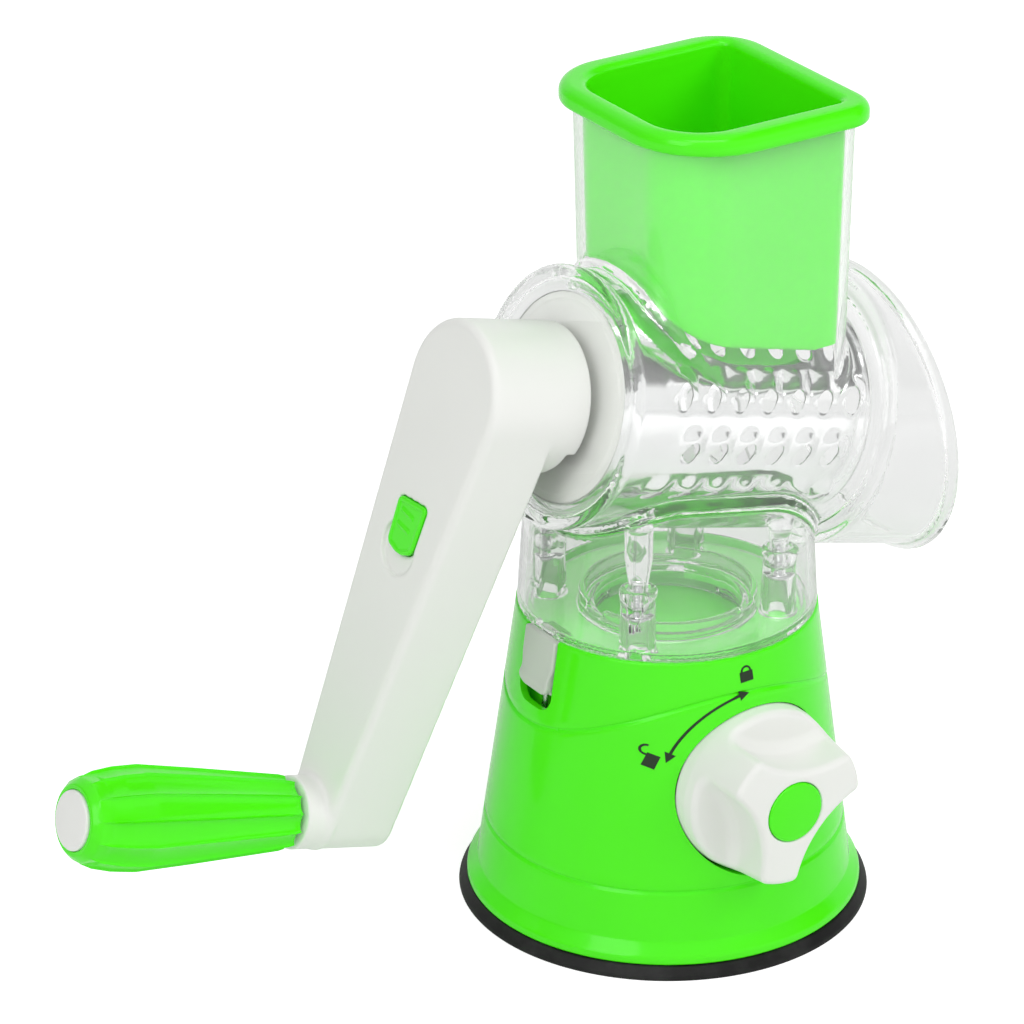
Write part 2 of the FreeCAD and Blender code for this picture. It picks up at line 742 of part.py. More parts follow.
def pedestal():
    """Transparent skirt on the base's rim, with its floor, bayonet ring, spigot and four sockets."""
    floor_top = f"({DECK_TOP} + pedestal_wall)"
    flange_top = "(base_height + flange_thickness)"
    foot = rod("pedestal_foot", TABLE, "rim_bore_radius - fit_gap", DECK_TOP, flange_top)
    skirt = cut("pedestal_skirt", fuse("pedestal_body", [pedestal_loft("pedestal_outside", "0"), foot]), [
        common("pedestal_hollow", pedestal_loft("pedestal_inside", "pedestal_wall"),
               rod("pedestal_hollow_span", TABLE, "2 * pedestal_radius", flange_top, "axis_height")),
        rod("foot_hollow", TABLE, "rim_bore_radius - fit_gap - pedestal_wall", floor_top,
            f"{flange_top} + 1")])
    clear_tube = [
        rod("pedestal_tube_cut", AXIS, "tube_radius + saddle_lip", "0 - 2 * crank_face",
            "hood_start + 1"),
        rod("pedestal_hood_cut", AXIS, "hood_radius + fit_gap / 10", "hood_start - saddle_lip",
            "2 * hood_reach"),
        rod("pedestal_ring_cut", AXIS, "ring_radius + saddle_lip", "0 - crank_face - 1",
            "ring_width - crank_face"),
    ]
    outer = "deck_hole_radius - fit_gap"
    spigot = rod("spigot", TABLE, outer, f"{DECK_UNDER} - fit_gap - lug_thickness", f"{DECK_TOP} + 1")
    ring = rod("bayonet_ring", TABLE, "bayonet_ring_radius", DECK_TOP,
               f"{floor_top} + bayonet_ring_height")
    lugs = [block(f"lug_{number}", shift(angle=120 * number),
                  ("deck_hole_radius - spigot_wall", "deck_hole_radius + lug_reach"),
                  ("0 - lug_width / 2", "lug_width / 2"),
                  (f"{DECK_UNDER} - fit_gap - lug_thickness",
                   f"{DECK_UNDER} - fit_gap")) for number in range(3)]
    sockets = [rod(f"socket_{number}", TABLE, "socket_radius", f"{DECK_TOP} + 1", SOCKET_TOP, x, y)
               for number, (x, y) in enumerate(POSTS)]
    solid = fuse("pedestal_solid",
                 [cut("pedestal_cut_skirt", skirt, clear_tube), spigot, ring] + lugs + sockets)
    tools = [
        rod("spigot_bore", TABLE, f"{outer} - spigot_wall", f"{DECK_UNDER} - 4",
            f"{DECK_TOP} + 2 * socket_height"),
        cut("ring_step", rod("ring_step_outside", TABLE, "bayonet_ring_radius - bayonet_ring_wall",
                             floor_top, f"{floor_top} + 2 * bayonet_ring_height"),
            [rod("ring_step_inside", TABLE, f"{outer} - spigot_wall - 1", DECK_UNDER, SOCKET_TOP)]),
        block("tooth_notch", LATCH,
              ("guide_offset - 2 * latch_gap - 4", "guide_offset + guide_depth + 2 * latch_gap"),
              ("0 - tooth_half_width - latch_gap", "tooth_half_width + latch_gap"),
              ("latch_half_length / 2", "latch_half_length + 1 + latch_gap")),
    ]
    for number in range(3):
        tools.append(block(f"ring_notch_{number}", shift(angle=120 * number + 60),
                           ("0", "2 * bayonet_ring_radius"), ("0 - ring_notch / 2", "ring_notch / 2"),
                           (f"{floor_top} + bayonet_ring_height / 2",
                            f"{floor_top} + 2 * bayonet_ring_height")))
    for number, (x, y) in enumerate(POSTS):
        tools.append(rod(f"socket_bore_{number}", TABLE, "post_boss_radius + fit_gap / 2",
                         f"{SOCKET_TOP} - post_overlap - fit_gap", f"{SOCKET_TOP} + 1", x, y))
        tools.append(rod(f"socket_way_{number}", TABLE, "screw_radius + screw_clearance",
                         f"{DECK_TOP} - 1", f"{SOCKET_TOP} + 1", x, y))
        tools.append(rod(f"socket_head_{number}", TABLE, "screw_head_radius + fit_gap",
                         f"{DECK_TOP} - 1", POST_SEAT, x, y))
    return label(cut("pedestal", solid, tools), "pedestal")


def chute_loft(name, inset):
    """Tapered rounded box of the chute from the axis to the rim's top, drawn in by an inset."""
    sections = []
    for level, height in (("low", "axis_height"), ("top", "rim_top")):
        sections.append(flat_sketch(f"{name}_{level}", shift(z=height), draw_rounded,
                                    f"chute_left_{level} - ({inset})", f"chute_right_{level} - ({inset})",
                                    f"chute_half_{level} - ({inset})", f"chute_corner_crank - ({inset})",
                                    f"chute_corner_mouth - ({inset})"))
    return loft(name, sections)


CHUTE_TOP = "(rim_top - rim_thickness - fit_gap)"


def tube_shell(name, inner, outer):
    """Hollow length of cylinder around the drum axis up to the hood."""
    outside = rod(f"{name}_outside", AXIS, outer, "0 - crank_face", "hood_start + 1")
    inside = rod(f"{name}_inside", AXIS, inner, "0 - crank_face - 1", "hood_start + 2")
    return cut(name, outside, [inside])


def housing():
    """Transparent drum tube with the chute above it, the hood at its mouth and four bosses below."""
    slant = f"{AXIS} * {shift(z='hood_reach', axis=(0, 1, 0), angle='0 - hood_slant')}"
    beyond = "(2 * hood_radius)"
    tube = rod("tube_outside", AXIS, "tube_radius", "0 - crank_face", "hood_start + 1")
    ring = rod("tube_ring", AXIS, "ring_radius", "0 - crank_face", "ring_width - crank_face")
    hood = rod("hood_outside", AXIS, "hood_radius", "hood_start", "2 * hood_reach")
    lip_disc = rod("hood_lip_disc", AXIS, "hood_lip_radius", "hood_start", "2 * hood_reach")
    lip_slice = block("hood_lip_slice", slant, (f"0 - {beyond}", beyond), (f"0 - {beyond}", beyond),
                      ("0 - hood_lip_width", "0"))
    collar = rod("wall_collar", AXIS, "neck_radius + running_clearance + 3",
                 "0 - hub_face - neck_length + fit_gap",
                 "0 - crank_face + 1")
    chute = common("chute_outside_trimmed", chute_loft("chute_outside", "0"),
                   rod("chute_span", TABLE, "3 * chute_right_top", "axis_height", CHUTE_TOP))
    chute_bead = common("chute_bead", chute_loft("chute_bead_outside", "0 - saddle_overhang"),
                        tube_shell("chute_bead_shell", "tube_radius - 1", "tube_radius + saddle_lip"))
    skirt_ring = cut("skirt_bead_ring", pedestal_loft("skirt_bead_outside", "0 - saddle_overhang / 2"),
                     [pedestal_loft("skirt_bead_inside", "pedestal_wall + saddle_overhang")])
    skirt_bead = common("skirt_bead", skirt_ring,
                        tube_shell("skirt_bead_shell", "tube_radius - 1", "tube_radius + saddle_lip"))
    bosses = [rod(f"post_boss_{number}", TABLE, "post_boss_radius", f"{SOCKET_TOP} - post_overlap",
                  "axis_height", x, y)
              for number, (x, y) in enumerate(POSTS)]
    solid = fuse("housing_solid",
                 [tube, ring, hood, common("hood_lip", lip_disc, lip_slice), collar, chute,
                                   chute_bead, skirt_bead] + bosses)
    tools = [
        rod("tube_bore", AXIS, "tube_radius - tube_wall", "end_wall - crank_face",
            "hood_start + hood_wall"),
        rod("hood_bore", AXIS, "hood_radius - hood_wall", "hood_start + hood_wall", "3 * hood_reach"),
        chute_loft("chute_bore", "chute_wall"),
        rod("wall_hole", AXIS, "neck_radius + running_clearance", "0 - 2 * crank_face", "0"),
        block("hood_cut", slant, (f"0 - {beyond}", beyond), (f"0 - {beyond}", beyond),
              ("0", "3 * hood_reach")),
    ]
    for number, (x, y) in enumerate(POSTS):
        tools.append(rod(f"post_pilot_{number}", TABLE, "screw_radius + screw_clearance",
                         f"{SOCKET_TOP} - post_overlap - 1", f"{SOCKET_TOP} + 5", x, y))
    return label(cut("housing", solid, tools), "housing")


def housing_screws():
    """Four screws up through the pedestal's sockets into the housing's bosses."""
    items = [screw(f"housing_screw_{number}", TABLE, POST_SEAT, "post_screw_length", x, y)
             for number, (x, y) in enumerate(POSTS)]
    return label(group("housing_screws", items), "housing_screws")


def pusher():
    """Hollow food pusher: a drafted box with a hollowed underside and a turned-down rim."""
    outside = "(chute_wall + pusher_gap)"
    inside = "(chute_wall + pusher_gap + pusher_wall)"
    lift = "(drum_radius + drum_clearance)"
    centre = f"saddle_radius - {lift}"
    under = rod("pusher_underside", AXIS, "saddle_radius", "0 - 2 * crank_face", "2 * hood_start",
                x=centre)
    inner_under = rod("pusher_inner_underside", AXIS, "saddle_radius + pusher_floor",
                      "0 - 2 * crank_face",
                      "2 * hood_start", x=centre)
    walls = cut("pusher_box", chute_loft("pusher_outside", outside), [under])
    cavity = cut("pusher_cavity", chute_loft("pusher_inside", inside), [inner_under])
    rim = slab("pusher_rim", TABLE, "rim_top - rim_skirt", "rim_top", draw_rounded,
               "chute_left_top + rim_overhang", "chute_right_top + rim_overhang",
               "chute_half_top + rim_overhang",
               "chute_corner_crank + rim_overhang", "chute_corner_mouth + rim_overhang")
    groove_outside = slab("rim_groove_outside", TABLE, "rim_top - rim_skirt - 1",
                          "rim_top - rim_thickness", draw_rounded,
                          "chute_left_top + rim_overhang - skirt_wall",
                          "chute_right_top + rim_overhang - skirt_wall",
                          "chute_half_top + rim_overhang - skirt_wall",
                          "chute_corner_crank + rim_overhang - skirt_wall",
                          "chute_corner_mouth + rim_overhang - skirt_wall")
    groove = cut("rim_groove", groove_outside, [chute_loft("rim_groove_inside", outside)])
    solid = fuse("pusher_solid", [walls, cut("pusher_rim_hollow", rim, [groove])])
    return label(cut("pusher", solid, [cavity]), "pusher")


# ---- drum ------------------------------------------------------------------------------

def drum():
    """Perforated steel cylinder; rows of seven holes alternate with rows of six."""
    owner = body("drum", f"{AXIS} * {shift(z='0 - drum_start', angle='0 - drum_turn')}")
    revolve_body(owner, [
        ("drum_radius - drum_wall", "0"),
        ("drum_radius", "0"),
        ("drum_radius", "drum_length"),
        ("drum_radius - drum_wall", "drum_length"),
    ])
    rows = (("even", 7, "first_hole", 30), ("odd", 6, "first_hole + hole_step / 2", 0))
    for name, count, level, turn in rows:
        sketch = body_sketch(owner, f"{name}_hole", "XZ_Plane", shift(axis=(0, 1, 0), angle=turn),
                             draw_circle,
                             "hole_radius", "0", level)
        hole = owner.newObject("PartDesign::Pocket", f"{name}_pocket")
        hole.Profile = sketch
        hole.setExpression("Length", formula("2 * drum_radius"))
        owner.Tip = hole
        doc.recompute()
        pattern = owner.newObject("PartDesign::MultiTransform", f"{name}_rows")
        pattern.Originals = [hole]
        along = owner.newObject("PartDesign::LinearPattern", f"{name}_along")
        along.Direction = (origin_part(owner, "Z_Axis"), [""])
        along.Mode = "Spacing"
        along.setExpression("Offset", formula("hole_step"))
        along.Occurrences = count
        around = owner.newObject("PartDesign::PolarPattern", f"{name}_around")
        around.Axis = (origin_part(owner, "Z_Axis"), [""])
        around.Angle = 360
        around.Occurrences = 6
        pattern.Transformations = [along, around]
        owner.Tip = pattern
        doc.recompute()
    return label(owner, "drum")


def hexagon(name, frame, radius, start, end):
    return add("Part::Prism", name, f"{frame} * {shift(z=start)}", Circumradius=radius,
               Height=f"({end}) - ({start})")


def drum_hub():
    """White end plate of the drum with the neck that runs in the housing and the hexagonal spindle."""
    radius = "drum_radius - drum_wall - hub_fit"
    plate = rod("hub_plate_solid", AXIS, radius, "0 - hub_face", "hub_plate - hub_face")
    collar = cut("hub_collar_solid",
                 rod("hub_collar_outside", AXIS, radius, "0 - hub_face", "hub_collar - hub_face"),
                 [rod("hub_collar_inside", AXIS, f"{radius} - 2", "0 - hub_face",
                      "hub_collar - hub_face + 1")])
    neck = rod("hub_neck", AXIS, "neck_radius", "0 - hub_face - neck_length", "hub_plate - hub_face")
    hexagonal = hexagon("hub_hexagon", AXIS, "hex_radius", "0 - hex_tip", "0 - hub_face")
    groove_low, groove_high = "0 - plate_level - fit_gap", "plate_thickness - plate_level + fit_gap"
    groove = cut("hub_groove", rod("groove_outside", AXIS, "2 * hex_radius", groove_low, groove_high),
                 [rod("groove_core", AXIS, "hex_groove_core", groove_low, groove_high)])
    return label(cut("drum_hub", fuse("hub_solid", [plate, collar, neck, hexagonal]), [groove]),
                 "drum_hub")


# ---- crank -----------------------------------------------------------------------------

def draw_arm(sketch, hub_radius, tip_radius):
    """Outline of the tapered arm: two arcs about the axis and the grip, joined by tangents."""
    slope = f"(({hub_radius}) - ({tip_radius})) / crank_throw"
    rise = f"sqrt(1 - ({slope})^2)"
    spots = {
        "hub_low": (f"({hub_radius}) * {slope}", f"0 - ({hub_radius}) * {rise}"),
        "tip_low": (f"crank_throw + ({tip_radius}) * {slope}", f"0 - ({tip_radius}) * {rise}"),
        "tip_high": (f"crank_throw + ({tip_radius}) * {slope}", f"({tip_radius}) * {rise}"),
        "hub_high": (f"({hub_radius}) * {slope}", f"({hub_radius}) * {rise}"),
    }
    read = lambda text: float(sketch.evalExpression(formula(text)))
    ends = {name: Vector(*(read(text) for text in spot), 0) for name, spot in spots.items()}
    tip = Vector(read(f"crank_throw + ({tip_radius})"), 0, 0)
    back = Vector(read(f"0 - ({hub_radius})"), 0, 0)
    sketch.addGeometry(Part.LineSegment(ends["hub_low"], ends["tip_low"]), False)
    sketch.addGeometry(Part.LineSegment(ends["tip_high"], ends["hub_high"]), False)
    sketch.addGeometry(Part.Arc(ends["tip_low"], tip, ends["tip_high"]), False)
    sketch.addGeometry(Part.Arc(ends["hub_high"], back, ends["hub_low"]), False)
    for edge, first, second in ((0, "hub_low", "tip_low"), (1, "tip_high", "hub_high")):
        pin_point(sketch, edge, 1, spots[first])
        pin_point(sketch, edge, 2, spots[second])
    sketch.addConstraint(Sketcher.Constraint("Tangent", 0, 2, 2, 1))
    sketch.addConstraint(Sketcher.Constraint("Coincident", 2, 2, 1, 1))
    sketch.addConstraint(Sketcher.Constraint("Tangent", 1, 2, 3, 1))
    sketch.addConstraint(Sketcher.Constraint("Coincident", 3, 2, 0, 1))


SKIN = "(arm_wall - arm_front)"
PILLARS = ("pillar_near", "pillar_far")


def crank_arm():
    """White arm shell with the hub boss, the hexagonal socket and the neck of the grip."""
    outer = slab("arm_outside", CRANK, "0 - arm_front", "0 - arm_back", draw_arm, "arm_hub_radius",
                 "arm_tip_radius")
    inner = slab("arm_inside", CRANK, SKIN, "1 - arm_back", draw_arm,
                 "arm_hub_radius - arm_wall", "arm_tip_radius - arm_wall")
    boss = cut("arm_boss",
               rod("arm_boss_outside", CRANK, "arm_hub_radius", "0 - arm_back", "0 - boss_end"), [
        rod("arm_boss_inside", CRANK, "arm_hub_radius - arm_wall", "0 - arm_back - 1", "1 - boss_end"),
        block("boss_notch_cut", CRANK, ("arm_hub_radius / 3", "2 * arm_hub_radius"),
              ("0 - 2 * arm_hub_radius", "0"),
              ("0 - boss_end - boss_notch", "1 - boss_end"))])
    shell = cut("arm_shell", outer, [inner])
    socket = rod("arm_socket", CRANK, "socket_boss_radius", SKIN, "0 - socket_end")
    neck = rod("arm_neck", CRANK, "arm_tip_radius - 0.1", "0 - neck_end", "1 - arm_front",
               x="crank_throw")
    seat = rod("arm_spindle_seat", CRANK, "spindle_radius + 2.5", SKIN,
               "0 - spindle_head - screw_head_height",
               x="crank_throw")
    shelf = block("arm_spring_shelf", CRANK,
                  ("plate_end + return_spring_length", "plate_end + return_spring_length + 2"),
                  ("0 - 6", "6"), (SKIN, "0 - plate_level + plate_thickness + 1"))
    pillars = [rod(f"arm_pillar_{number}", CRANK, "pillar_radius", SKIN,
                   "0 - arm_back - cover_thickness - cover_gap",
                   x=spot) for number, spot in enumerate(PILLARS)]
    solid = fuse("arm_solid", [shell, boss, socket, neck, seat, shelf] + pillars)
    tools = [
        hexagon("arm_hexagon", AXIS, "hex_radius + hex_clearance", "0 - hex_tip - fit_gap",
                "1 - socket_end"),
        block("arm_plate_slot", CRANK, ("0 - 2 * hex_radius", "2 * hex_radius"),
              ("0 - plate_half_width - fit_gap", "plate_half_width + fit_gap"),
              ("0 - plate_level - fit_gap", "plate_thickness - plate_level + fit_gap")),
        rod("arm_spindle_bore", CRANK, "spindle_radius + hub_fit", "0 - 2 * arm_front", "0",
            x="crank_throw"),
        block("arm_window", CRANK,
              ("button_top - button_gap", "button_bottom + button_travel + button_gap"),
              ("0 - button_half_width - button_gap", "button_half_width + button_gap"),
              ("0 - arm_front - 1", f"{SKIN} + 1")),
        block("arm_finger_recess", CRANK, ("button_bottom", "button_bottom + finger_recess"),
              ("0 - button_half_width + 2", "button_half_width - 2"),
              ("0 - arm_front - 1", "finger_depth - arm_front")),
    ]
    tools += [rod(f"arm_pilot_{number}", CRANK, "screw_radius + screw_clearance", f"{SKIN} + 4",
                  "0 - arm_back", x=spot)
              for number, spot in enumerate(PILLARS)]
    return label(cut("crank_arm", solid, tools), "crank_arm")


def arm_cover():
    """Flat cover let into the back of the arm."""
    plate = slab("cover_plate", CRANK, "0 - arm_back - cover_thickness", "0 - arm_back", draw_arm,
                 "arm_hub_radius - arm_wall - cover_gap", "arm_tip_radius - arm_wall - cover_gap")
    tools = [rod("cover_hub_hole", CRANK, "arm_hub_radius - arm_wall", "0 - arm_front", "0")]
    tools += [rod(f"cover_hole_{number}", CRANK, "screw_radius + screw_clearance", "0 - arm_front", "0",
                  x=spot)
              for number, spot in enumerate(PILLARS)]
    return label(cut("arm_cover", plate, tools), "arm_cover")


def cover_screws():
    """Two screws through the cover into the arm's pillars."""
    items = []
    for number, spot in enumerate(PILLARS):
        head = rod(f"cover_screw_head_{number}", CRANK, "screw_head_radius", "0 - arm_back",
                   "screw_head_height - arm_back", x=spot)
        shank = rod(f"cover_screw_shank_{number}", CRANK, "screw_radius",
                    "0 - arm_back - cover_screw_length",
                    "0 - arm_back", x=spot)
        items.append(fuse(f"cover_screw_{number}", [head, shank]))
    return label(group("cover_screws", items), "cover_screws")


def release_button():
    """Green thumb slider in the arm's face with its inner flange and stem."""
    width = ("0 - button_half_width", "button_half_width")
    head = block("button_head", CRANK, ("button_top", "button_bottom"), width,
                 ("0 - arm_front - 0.4", f"{SKIN} + fit_gap"))
    flange = block("button_flange", CRANK, ("button_top - button_travel - 1", "button_bottom + 1"),
                   ("0 - button_half_width - 1.5", "button_half_width + 1.5"),
                   (f"{SKIN} + fit_gap", f"{SKIN} + fit_gap + button_lip"))
    stem = block("button_stem", CRANK, ("button_top + 4", "button_bottom - 4"), ("0 - 4", "4"),
                 (f"{SKIN} + fit_gap + button_lip", "0 - plate_level"))
    return label(fuse("release_button", [head, flange, stem]), "release_button")


def lock_plate():
    """Sliding plate whose hole grips the groove of the drum's spindle."""
    span = ("0 - plate_level", "plate_thickness - plate_level")
    hole_radius = "(hex_radius + fit_gap)"
    centre = f"(hex_groove_core + fit_gap / 2 - {hole_radius})"
    eye = block("plate_eye", CRANK, (f"{centre} - {hole_radius} - 2", "plate_half_width + 4"),
                ("0 - plate_half_width", "plate_half_width"), span)
    tail = block("plate_tail", CRANK, ("plate_half_width + 4", "plate_end"), ("0 - 4", "4"), span)
    hole = rod("plate_hole", CRANK, hole_radius, "0 - plate_level - 1",
               "plate_thickness - plate_level + 1", x=centre)
    return label(cut("lock_plate", fuse("plate_solid", [eye, tail]), [hole]), "lock_plate")


def button_spring():
    """Return spring between the lock plate and the arm's shelf, along the arm."""
    turn = shift(x="plate_end", z="plate_thickness / 2 - plate_level", axis=(0, 1, 0), angle=90)
    return coil("button_spring", f"{CRANK} * {turn}", "spring_radius", "0", "return_spring_length")


# ---- grip ------------------------------------------------------------------------------

CAP_BACK = "(grip_end + end_cap_proud - end_cap_thickness)"


def grip():
    """Green turning grip, bored for its spindle and recessed for the end cap."""
    owner = body("grip", GRIP)
    bore = "spindle_radius + running_clearance"
    seat = "spindle_head_radius + fit_gap"
    step = f"{CAP_BACK} - screw_head_height - 2 * fit_gap"
    revolve_body(owner, [
        (bore, "0 - grip_start"),
        ("grip_neck_radius", "0 - grip_start"),
        ("grip_shoulder_radius", "0 - grip_start - 2.5"),
        ("grip_belly_radius", "0 - grip_belly"),
        ("grip_tail_radius", "0 - grip_tail"),
        ("grip_end_radius", "0 - grip_end"),
        ("end_cap_radius + cap_gap", "0 - grip_end"),
        ("end_cap_radius + cap_gap", f"0 - {CAP_BACK}"),
        (seat, f"0 - {CAP_BACK}"),
        (seat, f"0 - ({step})"),
        (bore, f"0 - ({step})"),
    ])
    return label(owner, "grip")


def grip_spindle():
    """Rivet from inside the arm through the grip, with a head at each end."""
    tip = f"{CAP_BACK} - fit_gap"
    pin = rod("spindle_pin", GRIP, "spindle_radius", f"0 - ({tip})", "0 - spindle_head")
    inner = rod("spindle_inner_head", GRIP, "spindle_head_radius", "0 - spindle_head - screw_head_height",
                "0 - spindle_head")
    outer = rod("spindle_outer_head", GRIP, "spindle_head_radius", f"0 - ({tip})",
                f"screw_head_height - ({tip})")
    return label(fuse("grip_spindle", [pin, inner, outer]), "grip_spindle")


def grip_end_cap():
    return label(rod("grip_end_cap", GRIP, "end_cap_radius", "0 - grip_end - end_cap_proud",
                     f"0 - {CAP_BACK}"),
                 "grip_end_cap")


BUILDERS = [
    base_shell, suction_cup, base_frame, frame_screws, cup_plunger, cam_shaft, knob, knob_cap, knob_screw,
    latch, latch_spring, pedestal, housing, housing_screws, pusher, drum, drum_hub, crank_arm, arm_cover,
    cover_screws, release_button, lock_plate, button_spring, grip, grip_spindle, grip_end_cap,
]

for build in BUILDERS:
    build()
doc.recompute()

for item in doc.Objects:
    if any(word in item.State for word in ("Invalid", "Error")):
        raise RuntimeError(f"{item.Label} failed to compute")
for node in NODES:
    if node.Shape.isNull() or not node.Shape.isValid():
        raise RuntimeError(f"{node.Label} has no valid shape")

os.makedirs("parts", exist_ok=True)
for node in NODES:
    node.Shape.exportStep(f"parts/{node.Label}.step")
    box = node.Shape.BoundBox
    print(f"{node.Label:16s} solids {len(node.Shape.Solids)} volume {node.Shape.Volume:10.1f} "
          f"x {box.XMin:7.1f} {box.XMax:7.1f} y {box.YMin:7.1f} {box.YMax:7.1f} z {box.ZMin:7.1f} {box.ZMax:7.1f}")
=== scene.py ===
"""Dressed model of a hand-cranked rotary shredder on a suction base.

Lengths are millimetres, but for the stage, the nodes and the add-on's settings, which are
in metres. Points are worked out in turned frames: the drum's (along the drum, sideways, up
across it), the crank's (along the drum, along the arm, across the arm), the knob's
(outwards, to the right, up) and the latch's (into the wall, sideways, up the wall).
"""
import math

import bmesh
import bpy
import numpy as np
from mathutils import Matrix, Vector


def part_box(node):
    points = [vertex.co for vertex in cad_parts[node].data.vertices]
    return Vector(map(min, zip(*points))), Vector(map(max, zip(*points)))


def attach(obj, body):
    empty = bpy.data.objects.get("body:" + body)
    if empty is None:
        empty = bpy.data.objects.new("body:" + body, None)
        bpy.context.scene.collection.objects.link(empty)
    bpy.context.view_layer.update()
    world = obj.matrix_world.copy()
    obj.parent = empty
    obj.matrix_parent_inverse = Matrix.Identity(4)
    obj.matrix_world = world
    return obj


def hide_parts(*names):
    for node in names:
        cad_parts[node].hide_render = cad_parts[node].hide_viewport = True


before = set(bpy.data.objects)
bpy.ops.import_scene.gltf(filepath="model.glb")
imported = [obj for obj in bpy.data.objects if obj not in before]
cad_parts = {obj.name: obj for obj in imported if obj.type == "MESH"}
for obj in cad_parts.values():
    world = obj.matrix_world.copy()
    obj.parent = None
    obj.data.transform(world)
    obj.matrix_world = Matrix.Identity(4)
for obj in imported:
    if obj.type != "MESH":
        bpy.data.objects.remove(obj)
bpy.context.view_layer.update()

bl_info = {
    "name": "Rotary Shredder",
    "version": (1, 0, 0),
    "blender": (4, 5, 0),
    "location": "View3D > Sidebar > Shredder",
    "description": "Makes each piece of a hand-cranked rotary shredder around its packed frame",
    "category": "Add Mesh",
}

MM = 0.001


# ---- shader and geometry graphs ---------------------------------------------------------

class Wire:
    """An output socket that can be added, multiplied and so on, which adds Math nodes."""

    def __init__(self, graph, socket):
        self.graph = graph
        self.socket = socket

    def __add__(self, other):
        return self.graph.math("ADD", self, other)

    def __radd__(self, other):
        return self.graph.math("ADD", other, self)

    def __sub__(self, other):
        return self.graph.math("SUBTRACT", self, other)

    def __rsub__(self, other):
        return self.graph.math("SUBTRACT", other, self)

    def __mul__(self, other):
        return self.graph.math("MULTIPLY", self, other)

    def __rmul__(self, other):
        return self.graph.math("MULTIPLY", other, self)

    def __truediv__(self, other):
        return self.graph.math("DIVIDE", self, other)

    def __rtruediv__(self, other):
        return self.graph.math("DIVIDE", other, self)

    def __neg__(self):
        return self.graph.math("MULTIPLY", self, -1.0)


class Graph:
    """Adds nodes to one tree. A node is given by its type, its settings, then its inputs."""

    def __init__(self, tree, prefix):
        self.tree = tree
        self.prefix = prefix

    def add(self, kind, settings=None, inputs=None, output=0):
        """Add a node; inputs are keyed by socket name or number."""
        node = self.tree.nodes.new(self.prefix + kind if "Node" not in kind else kind)
        for name, value in (settings or {}).items():
            if name == "stops":
                self.set_stops(node.color_ramp, value)
            else:
                setattr(node, name, value)
        for key, value in (inputs or {}).items():
            self.feed(node.inputs[key], value)
        node.location = (len(self.tree.nodes) * 40, 0)
        return Wire(self, node.outputs[output]) if node.outputs else node

    def set_stops(self, ramp, stops):
        """Give a ramp its stops, each a position and a grey level."""
        while len(ramp.elements) < len(stops):
            ramp.elements.new(0.5)
        for element, (position, level) in zip(ramp.elements, stops):
            element.position = position
            element.color = (level, level, level, 1.0)

    def feed(self, socket, value):
        if isinstance(value, (list, tuple)) and any(isinstance(v, Wire) for v in value):
            for item in value:
                self.tree.links.new(item.socket, socket)
        elif isinstance(value, Wire):
            self.tree.links.new(value.socket, socket)
        else:
            socket.default_value = value

    def math(self, operation, *values, clamp=False):
        settings = {"operation": operation, "use_clamp": clamp}
        return self.add("ShaderNodeMath", settings, dict(enumerate(values)))

    def vector(self, operation, *values, output=0):
        return self.add("ShaderNodeVectorMath", {"operation": operation},
                        dict(enumerate(values)), output)

    def dot(self, first, second):
        return self.vector("DOT_PRODUCT", first, second, output="Value")

    def most(self, first, second):
        return self.math("MAXIMUM", first, second)

    def point(self, x, y, z=0.0):
        return self.add("ShaderNodeCombineXYZ", None, {"X": x, "Y": y, "Z": z})

    def vector_scale(self, vector, scale):
        return self.add("ShaderNodeVectorMath", {"operation": "SCALE"},
                        {0: vector, "Scale": scale})

    def ports(self, wire):
        """All outputs of the wire's node by name."""
        return {item.name: Wire(self, item) for item in wire.socket.node.outputs if item.name}

    def seen(self):
        """One for rays that show a thing to the camera, straight or by glass and mirrors."""
        path = self.ports(self.add("ShaderNodeLightPath"))
        shown = self.most(path["Is Camera Ray"], path["Is Glossy Ray"])
        return self.most(shown, path["Is Transmission Ray"])


def new_tree(name, *inputs):
    """Graph of a geometry tree and the wires of its inputs, given as (name, kind, value)."""
    tree = bpy.data.node_groups.new(name, "GeometryNodeTree")
    sockets = tree.interface
    for label, kind, value in (("Geometry", "Geometry", None), *inputs,
                               ("Material", "Material", None)):
        made = sockets.new_socket(label, in_out="INPUT", socket_type="NodeSocket" + kind)
        if value is not None:
            made.default_value = value
    sockets.new_socket("Geometry", in_out="OUTPUT", socket_type="NodeSocketGeometry")
    graph = Graph(tree, "GeometryNode")
    return graph, graph.ports(graph.add("NodeGroupInput"))


def close_tree(graph, wires, geometry):
    """Paint the geometry with the tree's material and hand it out."""
    painted = graph.add("SetMaterial", None, {"Geometry": geometry, "Material": wires["Material"]})
    graph.add("NodeGroupOutput", None, {0: painted})
    return graph.tree


